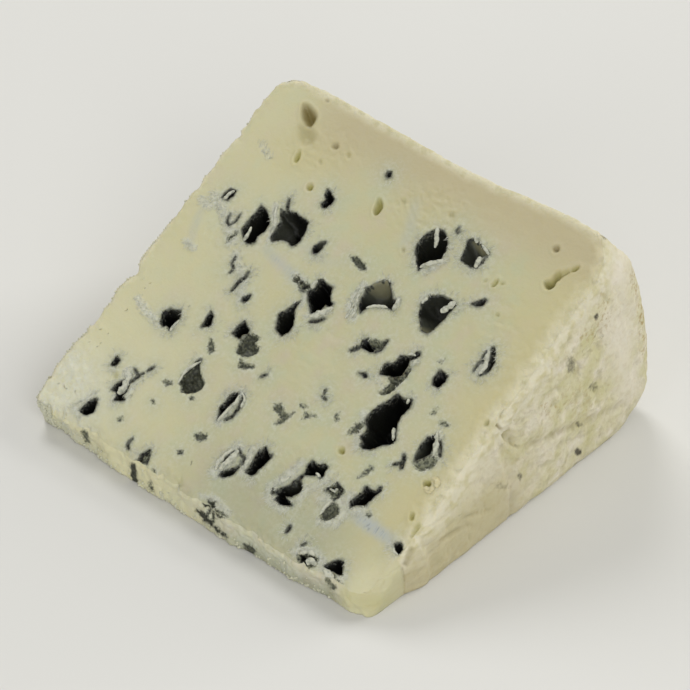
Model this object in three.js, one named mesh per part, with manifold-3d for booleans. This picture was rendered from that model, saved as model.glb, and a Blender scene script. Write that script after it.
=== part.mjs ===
// A wedge of blue-veined cheese: one twelfth of a drum-shaped wheel, lying on one of its two cut faces.
// Millimetres, +Z up. X runs from the blunt nose to the rind of the wheel's side, Y runs along the
// wheel's axis, and the origin is under the middle of the wedge, on the face that it rests on.

import * as THREE from 'three'
import { mergeVertices } from 'three/addons/utils/BufferGeometryUtils.js'
import Module from 'manifold-3d'

const wasm = await Module()
wasm.setup()

// The wheel that the wedge was cut from
const WHEEL_RADIUS = 100
const WHEEL_HEIGHT = 90
const RIM_RADIUS = 6 // round-over between a flat rind and the side rind
const SIDE_BULGE = 0.8 // how far the side rind swells at half height
const RIND_RELIEF = 0.3 // lumps and dips of the rind
const WHEEL_STEPS = 96 // round the whole wheel
const FLAT_RINGS = 7
const RIM_STEPS = 4
const SIDE_STEPS = 9

// The cut: two planes through the wheel's axis, and the tip broken off short of it
const WEDGE_ANGLE = THREE.MathUtils.degToRad(30)
const NOSE_RADIUS = 13 // from the wheel's axis to the blunt nose
const NOSE_RELIEF = 0.7 // crumbled unevenness of the nose
const NOSE_FADE = 8 // how far along the faces that unevenness dies out
const FACE_RELIEF = 0.2 // drag of the knife on the upper cut face
const BLOCK_MARGIN = 6 // how far the cutting block reaches past the rind
const BLOCK_STEPS = { out: 18, across: 20, up: 3 }

// The nose corner on one flat rind is pressed off along a slanting plane
const PRESSED_CORNER = new THREE.Vector3(0.4, -42.6, 0) // on the resting face, X from the nose
const PRESSED_NORMAL = new THREE.Vector3(-0.72, -0.61, 0.31).normalize()
const PRESS_SIZE = 60

// Hollows left by the blue mould, opening on the upper cut face. out is the distance from the wheel's
// axis along the face, across the place along the wheel's axis, turn the angle of the long side from
// the outward direction in degrees, and deep the depth square to the face.
const HOLLOWS = [
  { name: 'long cleft', out: 45.5, across: -24.5, long: 13, wide: 7, turn: 15, deep: 9 },
  { name: 'wedge hollow', out: 44.5, across: -36.5, long: 9.5, wide: 4.5, turn: 10, deep: 5 },
  { name: 'round well', out: 81, across: -9.5, long: 7.2, wide: 7, turn: 55, deep: 9 },
  { name: 'ledged well', out: 84.5, across: -18, long: 6.3, wide: 6, turn: 90, deep: 5.5 },
  { name: 'bean hollow', out: 67, across: -6.5, long: 8.5, wide: 6, turn: 135, deep: 4 },
  { name: 'kite hollow', out: 70, across: -19, long: 8, wide: 6, turn: 175, deep: 6.5 },
  { name: 'star hollow', out: 61.5, across: 4.5, long: 7.4, wide: 5.3, turn: 45, deep: 8 },
  { name: 'drop hollow', out: 53.5, across: 7.5, long: 8, wide: 3.8, turn: 25, deep: 7 },
  { name: 'left twin', out: 68, across: 27, long: 7.7, wide: 5, turn: 170, deep: 7.5 },
  { name: 'right twin', out: 71, across: 20, long: 9.6, wide: 6.4, turn: 25, deep: 6 },
  { name: 'far left well', out: 42, across: 30, long: 5.1, wide: 4.6, turn: 170, deep: 6 },
  { name: 'grey tear', out: 33.5, across: 17, long: 7.2, wide: 5, turn: 45, deep: 3 },
  { name: 'grey blot', out: 46.5, across: 13.5, long: 6.5, wide: 4, turn: 60, deep: 5 },
  { name: 'ribbed lens', out: 32.5, across: 5.7, long: 8, wide: 3.6, turn: 0, deep: 4.5 },
  { name: 'near lens', out: 22.7, across: -1.9, long: 7.4, wide: 3.2, turn: 0, deep: 4 },
  { name: 'slanted well', out: 26.5, across: -7, long: 7.2, wide: 3.2, turn: 5, deep: 6 },
  { name: 'upper blot', out: 30.5, across: -18.5, long: 5, wide: 4.4, turn: 105, deep: 6 },
  { name: 'lower blot', out: 23.5, across: -17, long: 5.4, wide: 3.8, turn: 140, deep: 5 },
  { name: 'oval blot', out: 25, across: -26.8, long: 4.2, wide: 3.4, turn: 140, deep: 3 },
  { name: 'spiked well', out: 31, across: -30.6, long: 6, wide: 3.4, turn: 170, deep: 6 },
  { name: 'branched slit', out: 58, across: -12, long: 7.6, wide: 3, turn: 125, deep: 4 },
  { name: 'tailed well', out: 57.5, across: -20.2, long: 8.4, wide: 4, turn: 130, deep: 6.5 },
  { name: 'square well', out: 58.7, across: -29, long: 3.4, wide: 2.6, turn: 0, deep: 5 },
  { name: 'white-ribbed slit', out: 66, across: -34.6, long: 6.2, wide: 2.4, turn: 10, deep: 4 },
  { name: 'corner dimple', out: 93.5, across: 33.4, long: 6.2, wide: 3.2, turn: 30, deep: 1.6 },
  { name: 'pipe dimple', out: 87, across: -36.2, long: 5.8, wide: 1.8, turn: 175, deep: 1.4 },
  { name: 'left slit', out: 18, across: 32.7, long: 5.2, wide: 3.4, turn: 20, deep: 4.5 },
  { name: 'front well', out: 16.3, across: -35, long: 3.8, wide: 2.8, turn: 100, deep: 4 },
  { name: 'chipped rind edge', out: 56, across: -45.6, long: 7, wide: 2.6, turn: 5, deep: 3 },
]
const HOLLOW_SIDES = 10
const HOLLOW_LIFT = 1.5 // how far a cutting bowl stands out of the face
const BOWL = [[0, -1], [0.55, -0.88], [0.88, -0.48], [1, 0], [1.08, 1], [0, 1]] // half section, mouth at 0
const LOBES = { threefold: 0.1, fivefold: 0.07 } // how far a hollow's outline strays from an ellipse

// Smooth unevenness between about -1 and 1 from two places along a surface.
function unevenness(a, b, turn) {
  const broad = Math.sin(a * 0.17 + turn) * Math.cos(b * 0.13 - turn)
  const middle = Math.sin(a * 0.41 + b * 0.23 + 2 * turn)
  const fine = Math.cos(b * 0.67 - a * 0.31 + 3 * turn)
  return 0.5 * broad + 0.3 * middle + 0.2 * fine
}

// Moves every vertex of a geometry to the place that a function gives.
function reshape(geometry, place) {
  const position = geometry.attributes.position
  const vertex = new THREE.Vector3()
  for (let i = 0; i < position.count; i++) {
    vertex.fromBufferAttribute(position, i)
    const moved = place(vertex.x, vertex.y, vertex.z)
    position.setXYZ(i, moved.x, moved.y, moved.z)
  }
  return geometry
}

// A closed geometry as a solid, its shared vertices merged and its collapsed triangles dropped.
function toSolid(geometry) {
  const bare = geometry.clone()
  bare.deleteAttribute('normal')
  bare.deleteAttribute('uv')
  const merged = mergeVertices(bare, 1e-4)
  const corners = merged.index.array
  const kept = []
  for (let i = 0; i < corners.length; i += 3) {
    const [a, b, c] = [corners[i], corners[i + 1], corners[i + 2]]
    if (a !== b && b !== c && c !== a) kept.push(a, b, c)
  }
  return new wasm.Manifold(
    new wasm.Mesh({
      numProp: 3,
      vertProperties: new Float32Array(merged.attributes.position.array),
      triVerts: new Uint32Array(kept),
    }),
  )
}

function toGeometry(solid) {
  const mesh = solid.getMesh()
  const geometry = new THREE.BufferGeometry()
  geometry.setAttribute('position', new THREE.BufferAttribute(mesh.vertProperties, 3))
  geometry.setIndex(new THREE.BufferAttribute(mesh.triVerts, 1))
  return geometry
}

// A place by its distance from the wheel's axis, its angle up from the resting face and its Y.
function onWheel(radius, angle, y) {
  return new THREE.Vector3(radius * Math.cos(angle), y, radius * Math.sin(angle))
}

// Half of the wheel's section, from the middle of one flat rind round the side to the other.
function wheelProfile() {
  const half = WHEEL_HEIGHT / 2
  const flat = WHEEL_RADIUS - RIM_RADIUS
  const outline = new THREE.Path()
  outline.moveTo(flat, -half)
  outline.absarc(flat, -half + RIM_RADIUS, RIM_RADIUS, -Math.PI / 2, 0)
  const nearRim = outline.getPoints(RIM_STEPS)
  const farRim = nearRim.map((p) => new THREE.Vector2(p.x, -p.y)).reverse()
  const side = []
  for (let i = 1; i < SIDE_STEPS; i++) {
    const y = THREE.MathUtils.lerp(-half + RIM_RADIUS, half - RIM_RADIUS, i / SIDE_STEPS)
    side.push(new THREE.Vector2(WHEEL_RADIUS + SIDE_BULGE * Math.cos((Math.PI * y) / WHEEL_HEIGHT), y))
  }
  const rings = []
  for (let i = 0; i < FLAT_RINGS; i++) rings.push(new THREE.Vector2((flat * i) / FLAT_RINGS, -half))
  const farRings = rings.map((p) => new THREE.Vector2(p.x, half)).reverse()
  return [...rings, ...nearRim, ...side, ...farRim, ...farRings]
}

// The drum-shaped wheel about the Y axis, with its lumpy rind.
function wheel() {
  const drum = new THREE.LatheGeometry(wheelProfile(), WHEEL_STEPS)
  reshape(drum, (x, y, z) => {
    const radius = Math.hypot(x, z)
    const angle = Math.atan2(z, x)
    const lump = RIND_RELIEF * unevenness(radius, 100 * angle + y, 1)
    const sideShare = THREE.MathUtils.smoothstep(radius, WHEEL_RADIUS - RIM_RADIUS, WHEEL_RADIUS)
    const flatShare = (1 - sideShare) * THREE.MathUtils.smoothstep(radius, 0, NOSE_RADIUS)
    return onWheel(radius + lump * sideShare, angle, y + Math.sign(y) * lump * flatShare)
  })
  return toSolid(drum)
}

// The block between the two cuts: flat below, dragged by the knife above, crumbled at the nose.
function cuttingBlock() {
  const block = new THREE.BoxGeometry(1, 1, 1, BLOCK_STEPS.out, BLOCK_STEPS.across, BLOCK_STEPS.up)
  reshape(block, (u, v, w) => {
    const length = WHEEL_RADIUS + BLOCK_MARGIN - NOSE_RADIUS
    const radius = NOSE_RADIUS + (u + 0.5) * length
    const y = v * (WHEEL_HEIGHT + 2 * BLOCK_MARGIN)
    const angle = (w + 0.5) * WEDGE_ANGLE
    const place = onWheel(radius, angle, y)
    const noseShare = 1 - THREE.MathUtils.smoothstep(radius, NOSE_RADIUS, NOSE_RADIUS + NOSE_FADE)
    place.x += NOSE_RELIEF * noseShare * unevenness(3 * y, 4 * place.z, 2)
    const drag = FACE_RELIEF * (w + 0.5) * unevenness(radius, y, 4)
    return place.addScaledVector(faceNormal, drag)
  })
  return toSolid(block)
}

// The upper cut face: outwards from the wheel's axis, across it, and square to it.
const faceOut = onWheel(1, WEDGE_ANGLE, 0)
const faceAcross = new THREE.Vector3(0, 1, 0)
const faceNormal = new THREE.Vector3().crossVectors(faceOut, faceAcross)

// The bowl that cuts one hollow: a lopsided outline that narrows to a rounded floor.
function hollow({ out, across, long, wide, turn, deep }) {
  const section = BOWL.map(([x, y]) => new THREE.Vector2(x, y))
  const shape = new THREE.LatheGeometry(section, HOLLOW_SIDES)
  const heading = THREE.MathUtils.degToRad(turn)
  const centre = onWheel(out, WEDGE_ANGLE, across)
  reshape(shape, (x, y, z) => {
    const around = Math.atan2(z, x)
    const broadLobes = LOBES.threefold * Math.sin(3 * around + out)
    const smallLobes = LOBES.fivefold * Math.sin(5 * around + across)
    const lobes = 1 + broadLobes + smallLobes
    const along = 0.5 * long * x * lobes
    const aside = -0.5 * wide * z * lobes
    const toOut = along * Math.cos(heading) - aside * Math.sin(heading)
    const toAcross = along * Math.sin(heading) + aside * Math.cos(heading)
    const height = y < 0 ? y * deep : y * HOLLOW_LIFT
    return centre
      .clone()
      .addScaledVector(faceOut, toOut)
      .addScaledVector(faceAcross, toAcross)
      .addScaledVector(faceNormal, height)
  })
  return toSolid(shape)
}

// The block that presses off the nose corner on one flat rind.
function pressBlock() {
  const block = new THREE.BoxGeometry(PRESS_SIZE, PRESS_SIZE, PRESS_SIZE)
  block.translate(0, 0, PRESS_SIZE / 2)
  const tilt = new THREE.Quaternion().setFromUnitVectors(new THREE.Vector3(0, 0, 1), PRESSED_NORMAL)
  block.applyQuaternion(tilt)
  block.translate(PRESSED_CORNER.x + NOSE_RADIUS, PRESSED_CORNER.y, PRESSED_CORNER.z)
  return toSolid(block)
}

function wedgeGeometry() {
  let wedge = wheel().intersect(cuttingBlock()).subtract(pressBlock())
  for (const entry of HOLLOWS) wedge = wedge.subtract(hollow(entry))
  return toGeometry(wedge)
}

const paste = new THREE.MeshStandardMaterial({ color: '#d9d5b4', roughness: 0.55, metalness: 0 })

const cheese = new THREE.Mesh(wedgeGeometry(), paste)
cheese.name = 'cheese_wedge'
cheese.geometry.computeBoundingBox()
const box = cheese.geometry.boundingBox
const middle = box.getCenter(new THREE.Vector3())
cheese.position.set(-middle.x, -middle.y, -box.min.z)

const group = new THREE.Group()
group.name = 'blue_cheese_wedge'
group.add(cheese)

export default group
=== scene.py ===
import math
from functools import partial
from types import SimpleNamespace

import bpy
import numpy as np
from mathutils import Matrix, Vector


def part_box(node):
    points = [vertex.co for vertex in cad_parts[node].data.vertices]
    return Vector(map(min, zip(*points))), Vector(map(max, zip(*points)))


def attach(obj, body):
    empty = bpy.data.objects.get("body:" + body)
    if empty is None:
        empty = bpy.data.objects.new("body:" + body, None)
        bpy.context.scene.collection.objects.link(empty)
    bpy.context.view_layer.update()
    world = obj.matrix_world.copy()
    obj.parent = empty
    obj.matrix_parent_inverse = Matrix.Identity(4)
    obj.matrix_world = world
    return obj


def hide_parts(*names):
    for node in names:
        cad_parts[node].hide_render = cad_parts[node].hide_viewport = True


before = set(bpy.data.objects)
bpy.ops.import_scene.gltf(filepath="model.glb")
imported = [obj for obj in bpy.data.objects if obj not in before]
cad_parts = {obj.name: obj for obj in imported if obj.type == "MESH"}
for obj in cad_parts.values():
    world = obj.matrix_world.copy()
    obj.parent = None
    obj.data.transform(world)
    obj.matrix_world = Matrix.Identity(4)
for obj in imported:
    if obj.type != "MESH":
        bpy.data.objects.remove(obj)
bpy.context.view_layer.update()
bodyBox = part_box("cheese_wedge")
print("frame loaded, wedge is", [round(1000 * (b - a), 1) for a, b in zip(*bodyBox)], "mm")

mm = 0.001  # shapes below are worked out in millimetres, meshes are written in metres

# the view: a long lens, looking down on the nose end of the near flat rind
view = dict(
    azimuth=-49.633,  # degrees, 0 looks along +Y
    elevation=38.638,
    roll=1.621,
    distance=647.6,  # from the aim to the lens
    aim=(2.218, 1.911, 16.804),
    focal=3180.0,  # lens in frame pixels
    frameWidth=690,
    sensor=36.0,
)


def axesAt(sideways, up, back, place):
    # the frame of a camera or a lamp, as columns: three directions and the place
    columns = np.eye(4)
    columns[:3] = np.stack([sideways, up, back, place], 1)
    return Matrix(columns)


turn, rise, roll = (math.radians(view[k]) for k in ("azimuth", "elevation", "roll"))
backward = np.array([math.sin(turn) * math.cos(rise), -math.cos(turn) * math.cos(rise), math.sin(rise)])
level = np.array([math.cos(turn), math.sin(turn), 0.0])
plumb = np.cross(backward, level)
rightward = level * math.cos(roll) + plumb * math.sin(roll)
upward = plumb * math.cos(roll) - level * math.sin(roll)
eye = np.array(view["aim"]) + backward * view["distance"]
middlePixel = view["frameWidth"] / 2

cameraData = bpy.data.cameras.new("wedgeCamera")
cameraData.lens = view["focal"] / view["frameWidth"] * view["sensor"]
cameraData.sensor_width = view["sensor"]
cameraData.clip_start, cameraData.clip_end = 0.01, 20.0
camera = bpy.data.objects.new("wedgeCamera", cameraData)
bpy.context.scene.collection.objects.link(camera)
camera.matrix_world = axesAt(rightward, upward, backward, eye * mm)
bpy.context.scene.camera = camera
print("camera placed")

# the wheel that the wedge was cut from, and the cut face that it shows
wheel = dict(
    radius=100.0,
    height=90.0,
    swell=0.8,  # of the side rind at half height
    cutAngle=30.0,
    nose=12.6,  # from the wheel's axis to the broken tip
    slack=0.1,  # kept between the rind and the box
)
axisX = bodyBox[1][0] / mm - wheel["radius"] - wheel["swell"] - wheel["slack"]
cut = math.radians(wheel["cutAngle"])
half = wheel["height"] / 2
faceOut = np.array([math.cos(cut), 0.0, math.sin(cut)])
faceNormal = np.array([-math.sin(cut), 0.0, math.cos(cut)])


def onFace(out, across, lift=0.0):
    # place = axis + out * outward direction + across * Y + lift * face normal
    out, across, lift = np.broadcast_arrays(out, across, lift)
    place = out[..., None] * faceOut + lift[..., None] * faceNormal
    place[..., 0] += axisX
    place[..., 1] += across
    return place


def seenOnFace(pixels):
    # the ray through each frame pixel, met with the plane of the cut face: (out, across)
    pixels = np.atleast_2d(np.asarray(pixels, float))
    across = (pixels[:, :1] - middlePixel) * rightward
    ray = across - (pixels[:, 1:] - middlePixel) * upward - view["focal"] * backward
    start = eye - np.array([axisX, 0.0, 0.0])
    hit = start - ray * ((start @ faceNormal) / (ray @ faceNormal))[:, None]
    return np.stack([hit @ faceOut, hit[:, 1]], 1)


def seenFrom(points):
    # frame pixels where the camera sees points: focal length * sideways / depth
    toPoint = points - eye
    depth = -(toPoint @ backward)
    x = middlePixel + view["focal"] * (toPoint @ rightward) / depth
    y = middlePixel - view["focal"] * (toPoint @ upward) / depth
    return np.stack([x, y], -1)


# noise: a hashed lattice blended by the curve 3t^2 - 2t^3, in octaves

def hashed(cell, seed):
    # a number from 0 to 1 for each lattice corner
    mixed = cell[..., 0] * 374761393 + cell[..., 1] * 668265263 + cell[..., 2] * 2147483647 + seed * 362437
    mixed = (mixed ^ (mixed >> 13)) * 1274126177 & 0xFFFFFFFF
    return ((mixed ^ (mixed >> 16)) & 0xFFFF) / 65535.0


def clouds(points, size, seed, octaves=1):
    # sum over octaves of lattice noise / 2^octave, about -1 to 1
    total, weight, gain = 0.0, 0.0, 1.0
    for octave in range(octaves):
        scaled = points / size * 2.0**octave + 17.3 * seed
        cell = np.floor(scaled).astype(np.int64)
        blend = scaled - cell
        blend = blend * blend * (3 - 2 * blend)
        value = 0.0
        for corner in np.ndindex(2, 2, 2):
            share = np.prod(np.where(corner, blend, 1 - blend), -1)
            value = value + share * hashed(cell + np.array(corner), seed + octave)
        total, weight, gain = total + gain * (2 * value - 1), weight + gain, gain * 0.5
    return total / weight


def smooth(low, high, value):
    # 3t^2 - 2t^3, where t is how far the value is from low to high, held between 0 and 1
    t = np.clip((value - low) / (high - low), 0, 1)
    return t * t * (3 - 2 * t)


# what the blue mould left on the cut face. rim and path are the frame pixels where the camera
# sees each feature on the face; depths and widths are millimetres.
# grey: share of grey mould over the black inside (black mould and painted shade), most on the painted lit
# wall; lit: frame direction of the wall painted greyest, as if lit, down unless given; rest: the grey left
# on the shaded side
cavities = dict(
    leftTwin=dict(deep=7.5, grey=0.1, lit=(-1, 0), rim=[(261, 206), (266, 210), (270, 220), (268, 226),
        (264, 232), (257, 237), (256, 242), (247, 243), (243, 237), (242, 229), (250, 219), (257, 212)]),
    rightTwin=dict(deep=3.6, wall=2.0, grey=0.5, lit=(-1, 0.3), rim=[(281, 209), (285, 213), (289, 211),
        (296, 214), (303, 219), (308, 223), (306, 231), (302, 239), (296, 245), (292, 246), (288, 242),
        (281, 240), (272, 242), (271, 238), (275, 231), (281, 222), (281, 214)]),
    rightTwinHeart=dict(deep=7.0, grey=0.1, lit=(0, -1), rim=[(292, 221), (297, 226), (296, 236),
        (294, 243), (290, 242), (288, 234), (289, 226)]),
    topLens=dict(deep=1.6, grey=0.7, rim=[(222, 198), (226, 193), (231, 189), (236, 191), (234, 196),
        (228, 201)]),
    smallOval=dict(deep=2.2, grey=0.2, rim=[(392, 172), (391, 177), (387, 179), (386, 176), (388, 172)]),
    teardrop=dict(deep=4.5, grey=0.0, rim=[(328, 189), (331, 193), (334, 199.5), (332, 203), (326, 209),
        (322, 208), (322, 204), (326, 200), (326, 194)]),
    bean=dict(deep=3.6, wall=2.2, grey=0.85, lit=(0.2, -1), rim=[(366, 288), (375, 284), (386, 281),
        (391, 283), (391, 290), (393, 300), (397, 300), (393, 310), (388, 308), (380, 306), (370, 306),
        (366, 309), (360, 313), (359, 305), (361, 298), (365, 291)]),
    star=dict(deep=8.0, grey=0.05, rim=[(308, 291), (316, 288), (319, 280), (323, 280), (326, 284),
        (333, 288), (331, 291), (330, 295), (331, 302), (334, 304), (331, 306), (326, 305), (323, 308),
        (318, 312), (310, 314), (310, 308), (308, 300)]),
    drop=dict(deep=7.0, grey=0.1, lit=(-1, 0), rim=[(302, 300), (297, 305), (294, 310), (294, 318),
        (293, 326), (289, 332), (281, 336), (277, 332), (275, 328), (277, 321), (279, 314), (285, 311),
        (291, 307)]),
    branchedSlit=dict(deep=4.0, grey=0.05, lit=(1, 0), rim=[(362.5, 340), (367, 339), (369, 344),
        (375, 348), (374, 352), (370, 352), (364.5, 349), (360.5, 346)]),
    tailedWell=dict(deep=6.5, grey=0.15, lit=(0.3, 1), rim=[(380.5, 374), (381, 371), (384, 365),
        (388, 363), (392.5, 363.5), (397, 361), (400.5, 356), (408, 357), (415, 357), (417, 352.5),
        (421, 353), (421, 356), (416, 359), (410, 361), (408.5, 366.5), (405.5, 371), (402, 375),
        (395, 376), (386, 375.5)]),
    longCleft=dict(deep=9.0, grey=0.1, lit=(-1, 0.5), rim=[(398, 394.5), (401, 397), (405, 399),
        (412, 399.5), (412, 404), (409, 409), (405, 413), (401, 417), (399, 420.5), (397, 424), (396, 430),
        (396, 440), (393.5, 443), (388, 445.5), (383, 445.5), (370, 449.5), (362.5, 448.5), (360, 445),
        (362.5, 442), (361, 436.5), (367, 431), (367, 426), (364.5, 420.5), (367, 417), (370, 414),
        (375, 409.5), (382, 404.5), (390, 401), (394.5, 396.5)]),
    squareWell=dict(deep=6.0, wall=0.9, grey=0.0, fray=0.15, rim=[(440, 370), (448, 376), (445, 382),
        (438.5, 388.5), (432.5, 385), (433.5, 378.5), (436.5, 375)]),
    wedgeHollow=dict(deep=5.0, wall=2.0, grey=0.6, lit=(-1, 0.6), rim=[(435.5, 435.5), (434, 444),
        (431.5, 454), (423, 458), (414, 461.5), (417, 453), (421.5, 445.5), (428, 437.5)]),
    roundWell=dict(deep=9.0, grey=0.22, lit=(-0.6, -1), rim=[(433, 231), (440, 230), (444, 231),
        (447, 238), (448, 243), (446, 250), (441, 259), (431, 261), (424, 264), (419, 270), (417, 264),
        (416, 252), (418, 244), (424, 237)]),
    ledgedWell=dict(deep=3.2, wall=2.8, grey=1.0, rest=0.45, lit=(1, -0.7), rim=[(468, 241), (473, 239),
        (479, 243), (486, 250), (489, 254), (484, 257), (478, 258), (475, 267), (471, 268), (461, 261),
        (463, 256), (467, 248)]),
    kite=dict(deep=4.4, wall=3.0, grey=0.9, rest=0.2, lit=(0.3, 1), rim=[(430, 296), (443, 296),
        (452, 300), (457, 305), (450, 312), (443, 321), (434, 329), (427, 334), (421, 330), (420, 315),
        (421, 305), (425, 303)]),
    oliveOval=dict(deep=2.0, wall=1.2, grey=0.55, lit=(1, -0.5), rim=[(326, 242), (322, 249), (316, 255),
        (312, 253), (314, 246), (320, 242)]),
    inkBit=dict(deep=1.6, grey=0.3, lit=(-1, 0), rim=[(359, 373), (366, 373), (367, 377), (364, 378),
        (362, 375)]),
    slateBit=dict(deep=1.8, grey=0.5, lit=(-1, 0), rim=[(472, 304), (478, 302), (485, 299), (487, 301),
        (482, 306), (476, 306)]),
    farLeftWell=dict(deep=6.0, grey=0.3, lit=(1, 0), rim=[(171, 308), (175, 311), (181, 311), (181, 316),
        (179, 320), (175, 323), (173, 326.5), (170, 330), (168.5, 327.5), (166.5, 325.5), (163, 326.5),
        (160.5, 323.5), (162, 318), (162.5, 312.5), (166.5, 310.5)]),
    sail=dict(deep=4.5, grey=0.1, lit=(-1, 1), rim=[(211, 312.5), (213.5, 316), (212, 323), (209.5, 327),
        (201, 327.5), (204, 322.5), (207.5, 317)]),
    darkBlot=dict(deep=5.0, grey=0.05, rim=[(245, 321), (247.5, 325.5), (249.5, 330), (248, 334),
        (242.5, 335.5), (239.5, 338.5), (235, 335.5), (232.5, 333), (236.5, 328.5), (240.5, 324.5)]),
    tinyBlot=dict(deep=2.0, grey=0.1, rim=[(251, 295), (248, 300), (244, 304), (241, 302), (243, 298)]),
    ribbedLens=dict(deep=4.5, grey=0.1, rim=[(240, 393), (238, 397), (235, 402), (229, 406), (224, 412),
        (219, 418), (217.5, 422), (218.5, 416), (220.5, 408), (227, 399), (233, 393.5)]),
    lowerLens=dict(deep=4.0, grey=0.15, rim=[(241, 461), (240, 464.5), (235.5, 467.5), (228, 470),
        (221.5, 472), (218.5, 475.5), (224, 477.5), (229, 476.5), (234, 473), (239, 469)]),
    slantedWell=dict(deep=6.0, grey=0.05, rim=[(260, 449.5), (261.5, 453.5), (264.5, 447.5), (266.5, 447),
        (268, 451.5), (269, 456), (273, 454.5), (271, 458), (267, 463), (261.5, 469), (256, 473),
        (251.5, 475.5), (245.5, 472), (250.5, 466.5), (255, 459), (258, 454)]),
    upperBlot=dict(deep=6.0, grey=0.1, lit=(1, 0.5), rim=[(312.5, 461), (316.5, 464.5), (319.5, 466.5),
        (323, 464.5), (329, 467.5), (326, 471), (324, 475.5), (320.5, 479.5), (318.5, 475), (312, 476),
        (304.5, 476), (303.5, 475), (306.5, 470), (308.5, 464.5)]),
    lowerBlot=dict(deep=4.5, grey=0.25, lit=(1, -0.3), rim=[(299, 480), (302, 483), (302.5, 489.5),
        (299, 493.5), (290.5, 497), (286, 496.5), (288.5, 502.5), (293, 505.5), (287, 505.5),
        (279.5, 503.5), (275.5, 500), (279, 495.5), (274.5, 493.5), (278.5, 489.5), (290, 486)]),
    spikedWell=dict(deep=6.0, grey=0.05, rim=[(364.5, 487.5), (367, 487), (371, 490), (376.5, 492),
        (379.5, 487.5), (382, 487), (380.5, 492), (373, 497.5), (368, 502.5), (365.5, 506), (358, 506),
        (352.5, 506), (351, 508), (350.5, 501.5), (356, 497), (362.5, 493)]),
    frontCluster=dict(deep=3.5, grey=0.25, rim=[(299, 556), (305.5, 556), (311, 556), (304.5, 558.5),
        (303.5, 562.5), (302.5, 568), (298, 565.5), (298, 560.5)]),
    frontWell=dict(deep=4.0, grey=0.3, lit=(-0.5, 1), rim=[(325, 567.5), (328, 565), (337.5, 561),
        (343, 562), (343, 568.5), (341, 577), (337.5, 577), (332.5, 574), (327, 572.5)]),
    leftSlit=dict(deep=4.5, grey=0.1, lit=(1, 0), rim=[(94.5, 399), (98.5, 399.5), (95.5, 406.5),
        (92.5, 413), (87, 415.5), (82.5, 413.5), (80.5, 411), (86, 405.5), (91, 400.5)]),
    leftDot=dict(deep=2.6, grey=0.1, rim=[(117, 357), (120.5, 360.5), (116, 366), (111.5, 365),
        (114, 361)]),
    tongueGap=dict(deep=2.5, grey=0.1, rim=[(120, 382), (115, 386), (112, 390), (116, 391), (117, 396),
        (114, 401), (121, 401), (125, 400), (122, 396), (126, 392), (130, 384), (131, 379), (126, 380)]),
    roundHole=dict(deep=3.5, grey=0.45, lit=(1, 0.3), rim=[(397.5, 543), (401, 544), (403.5, 547.5),
        (404, 551.5), (402, 555), (398.5, 556), (395, 553.5), (394, 549.5), (395, 545.5)]),
)

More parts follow.
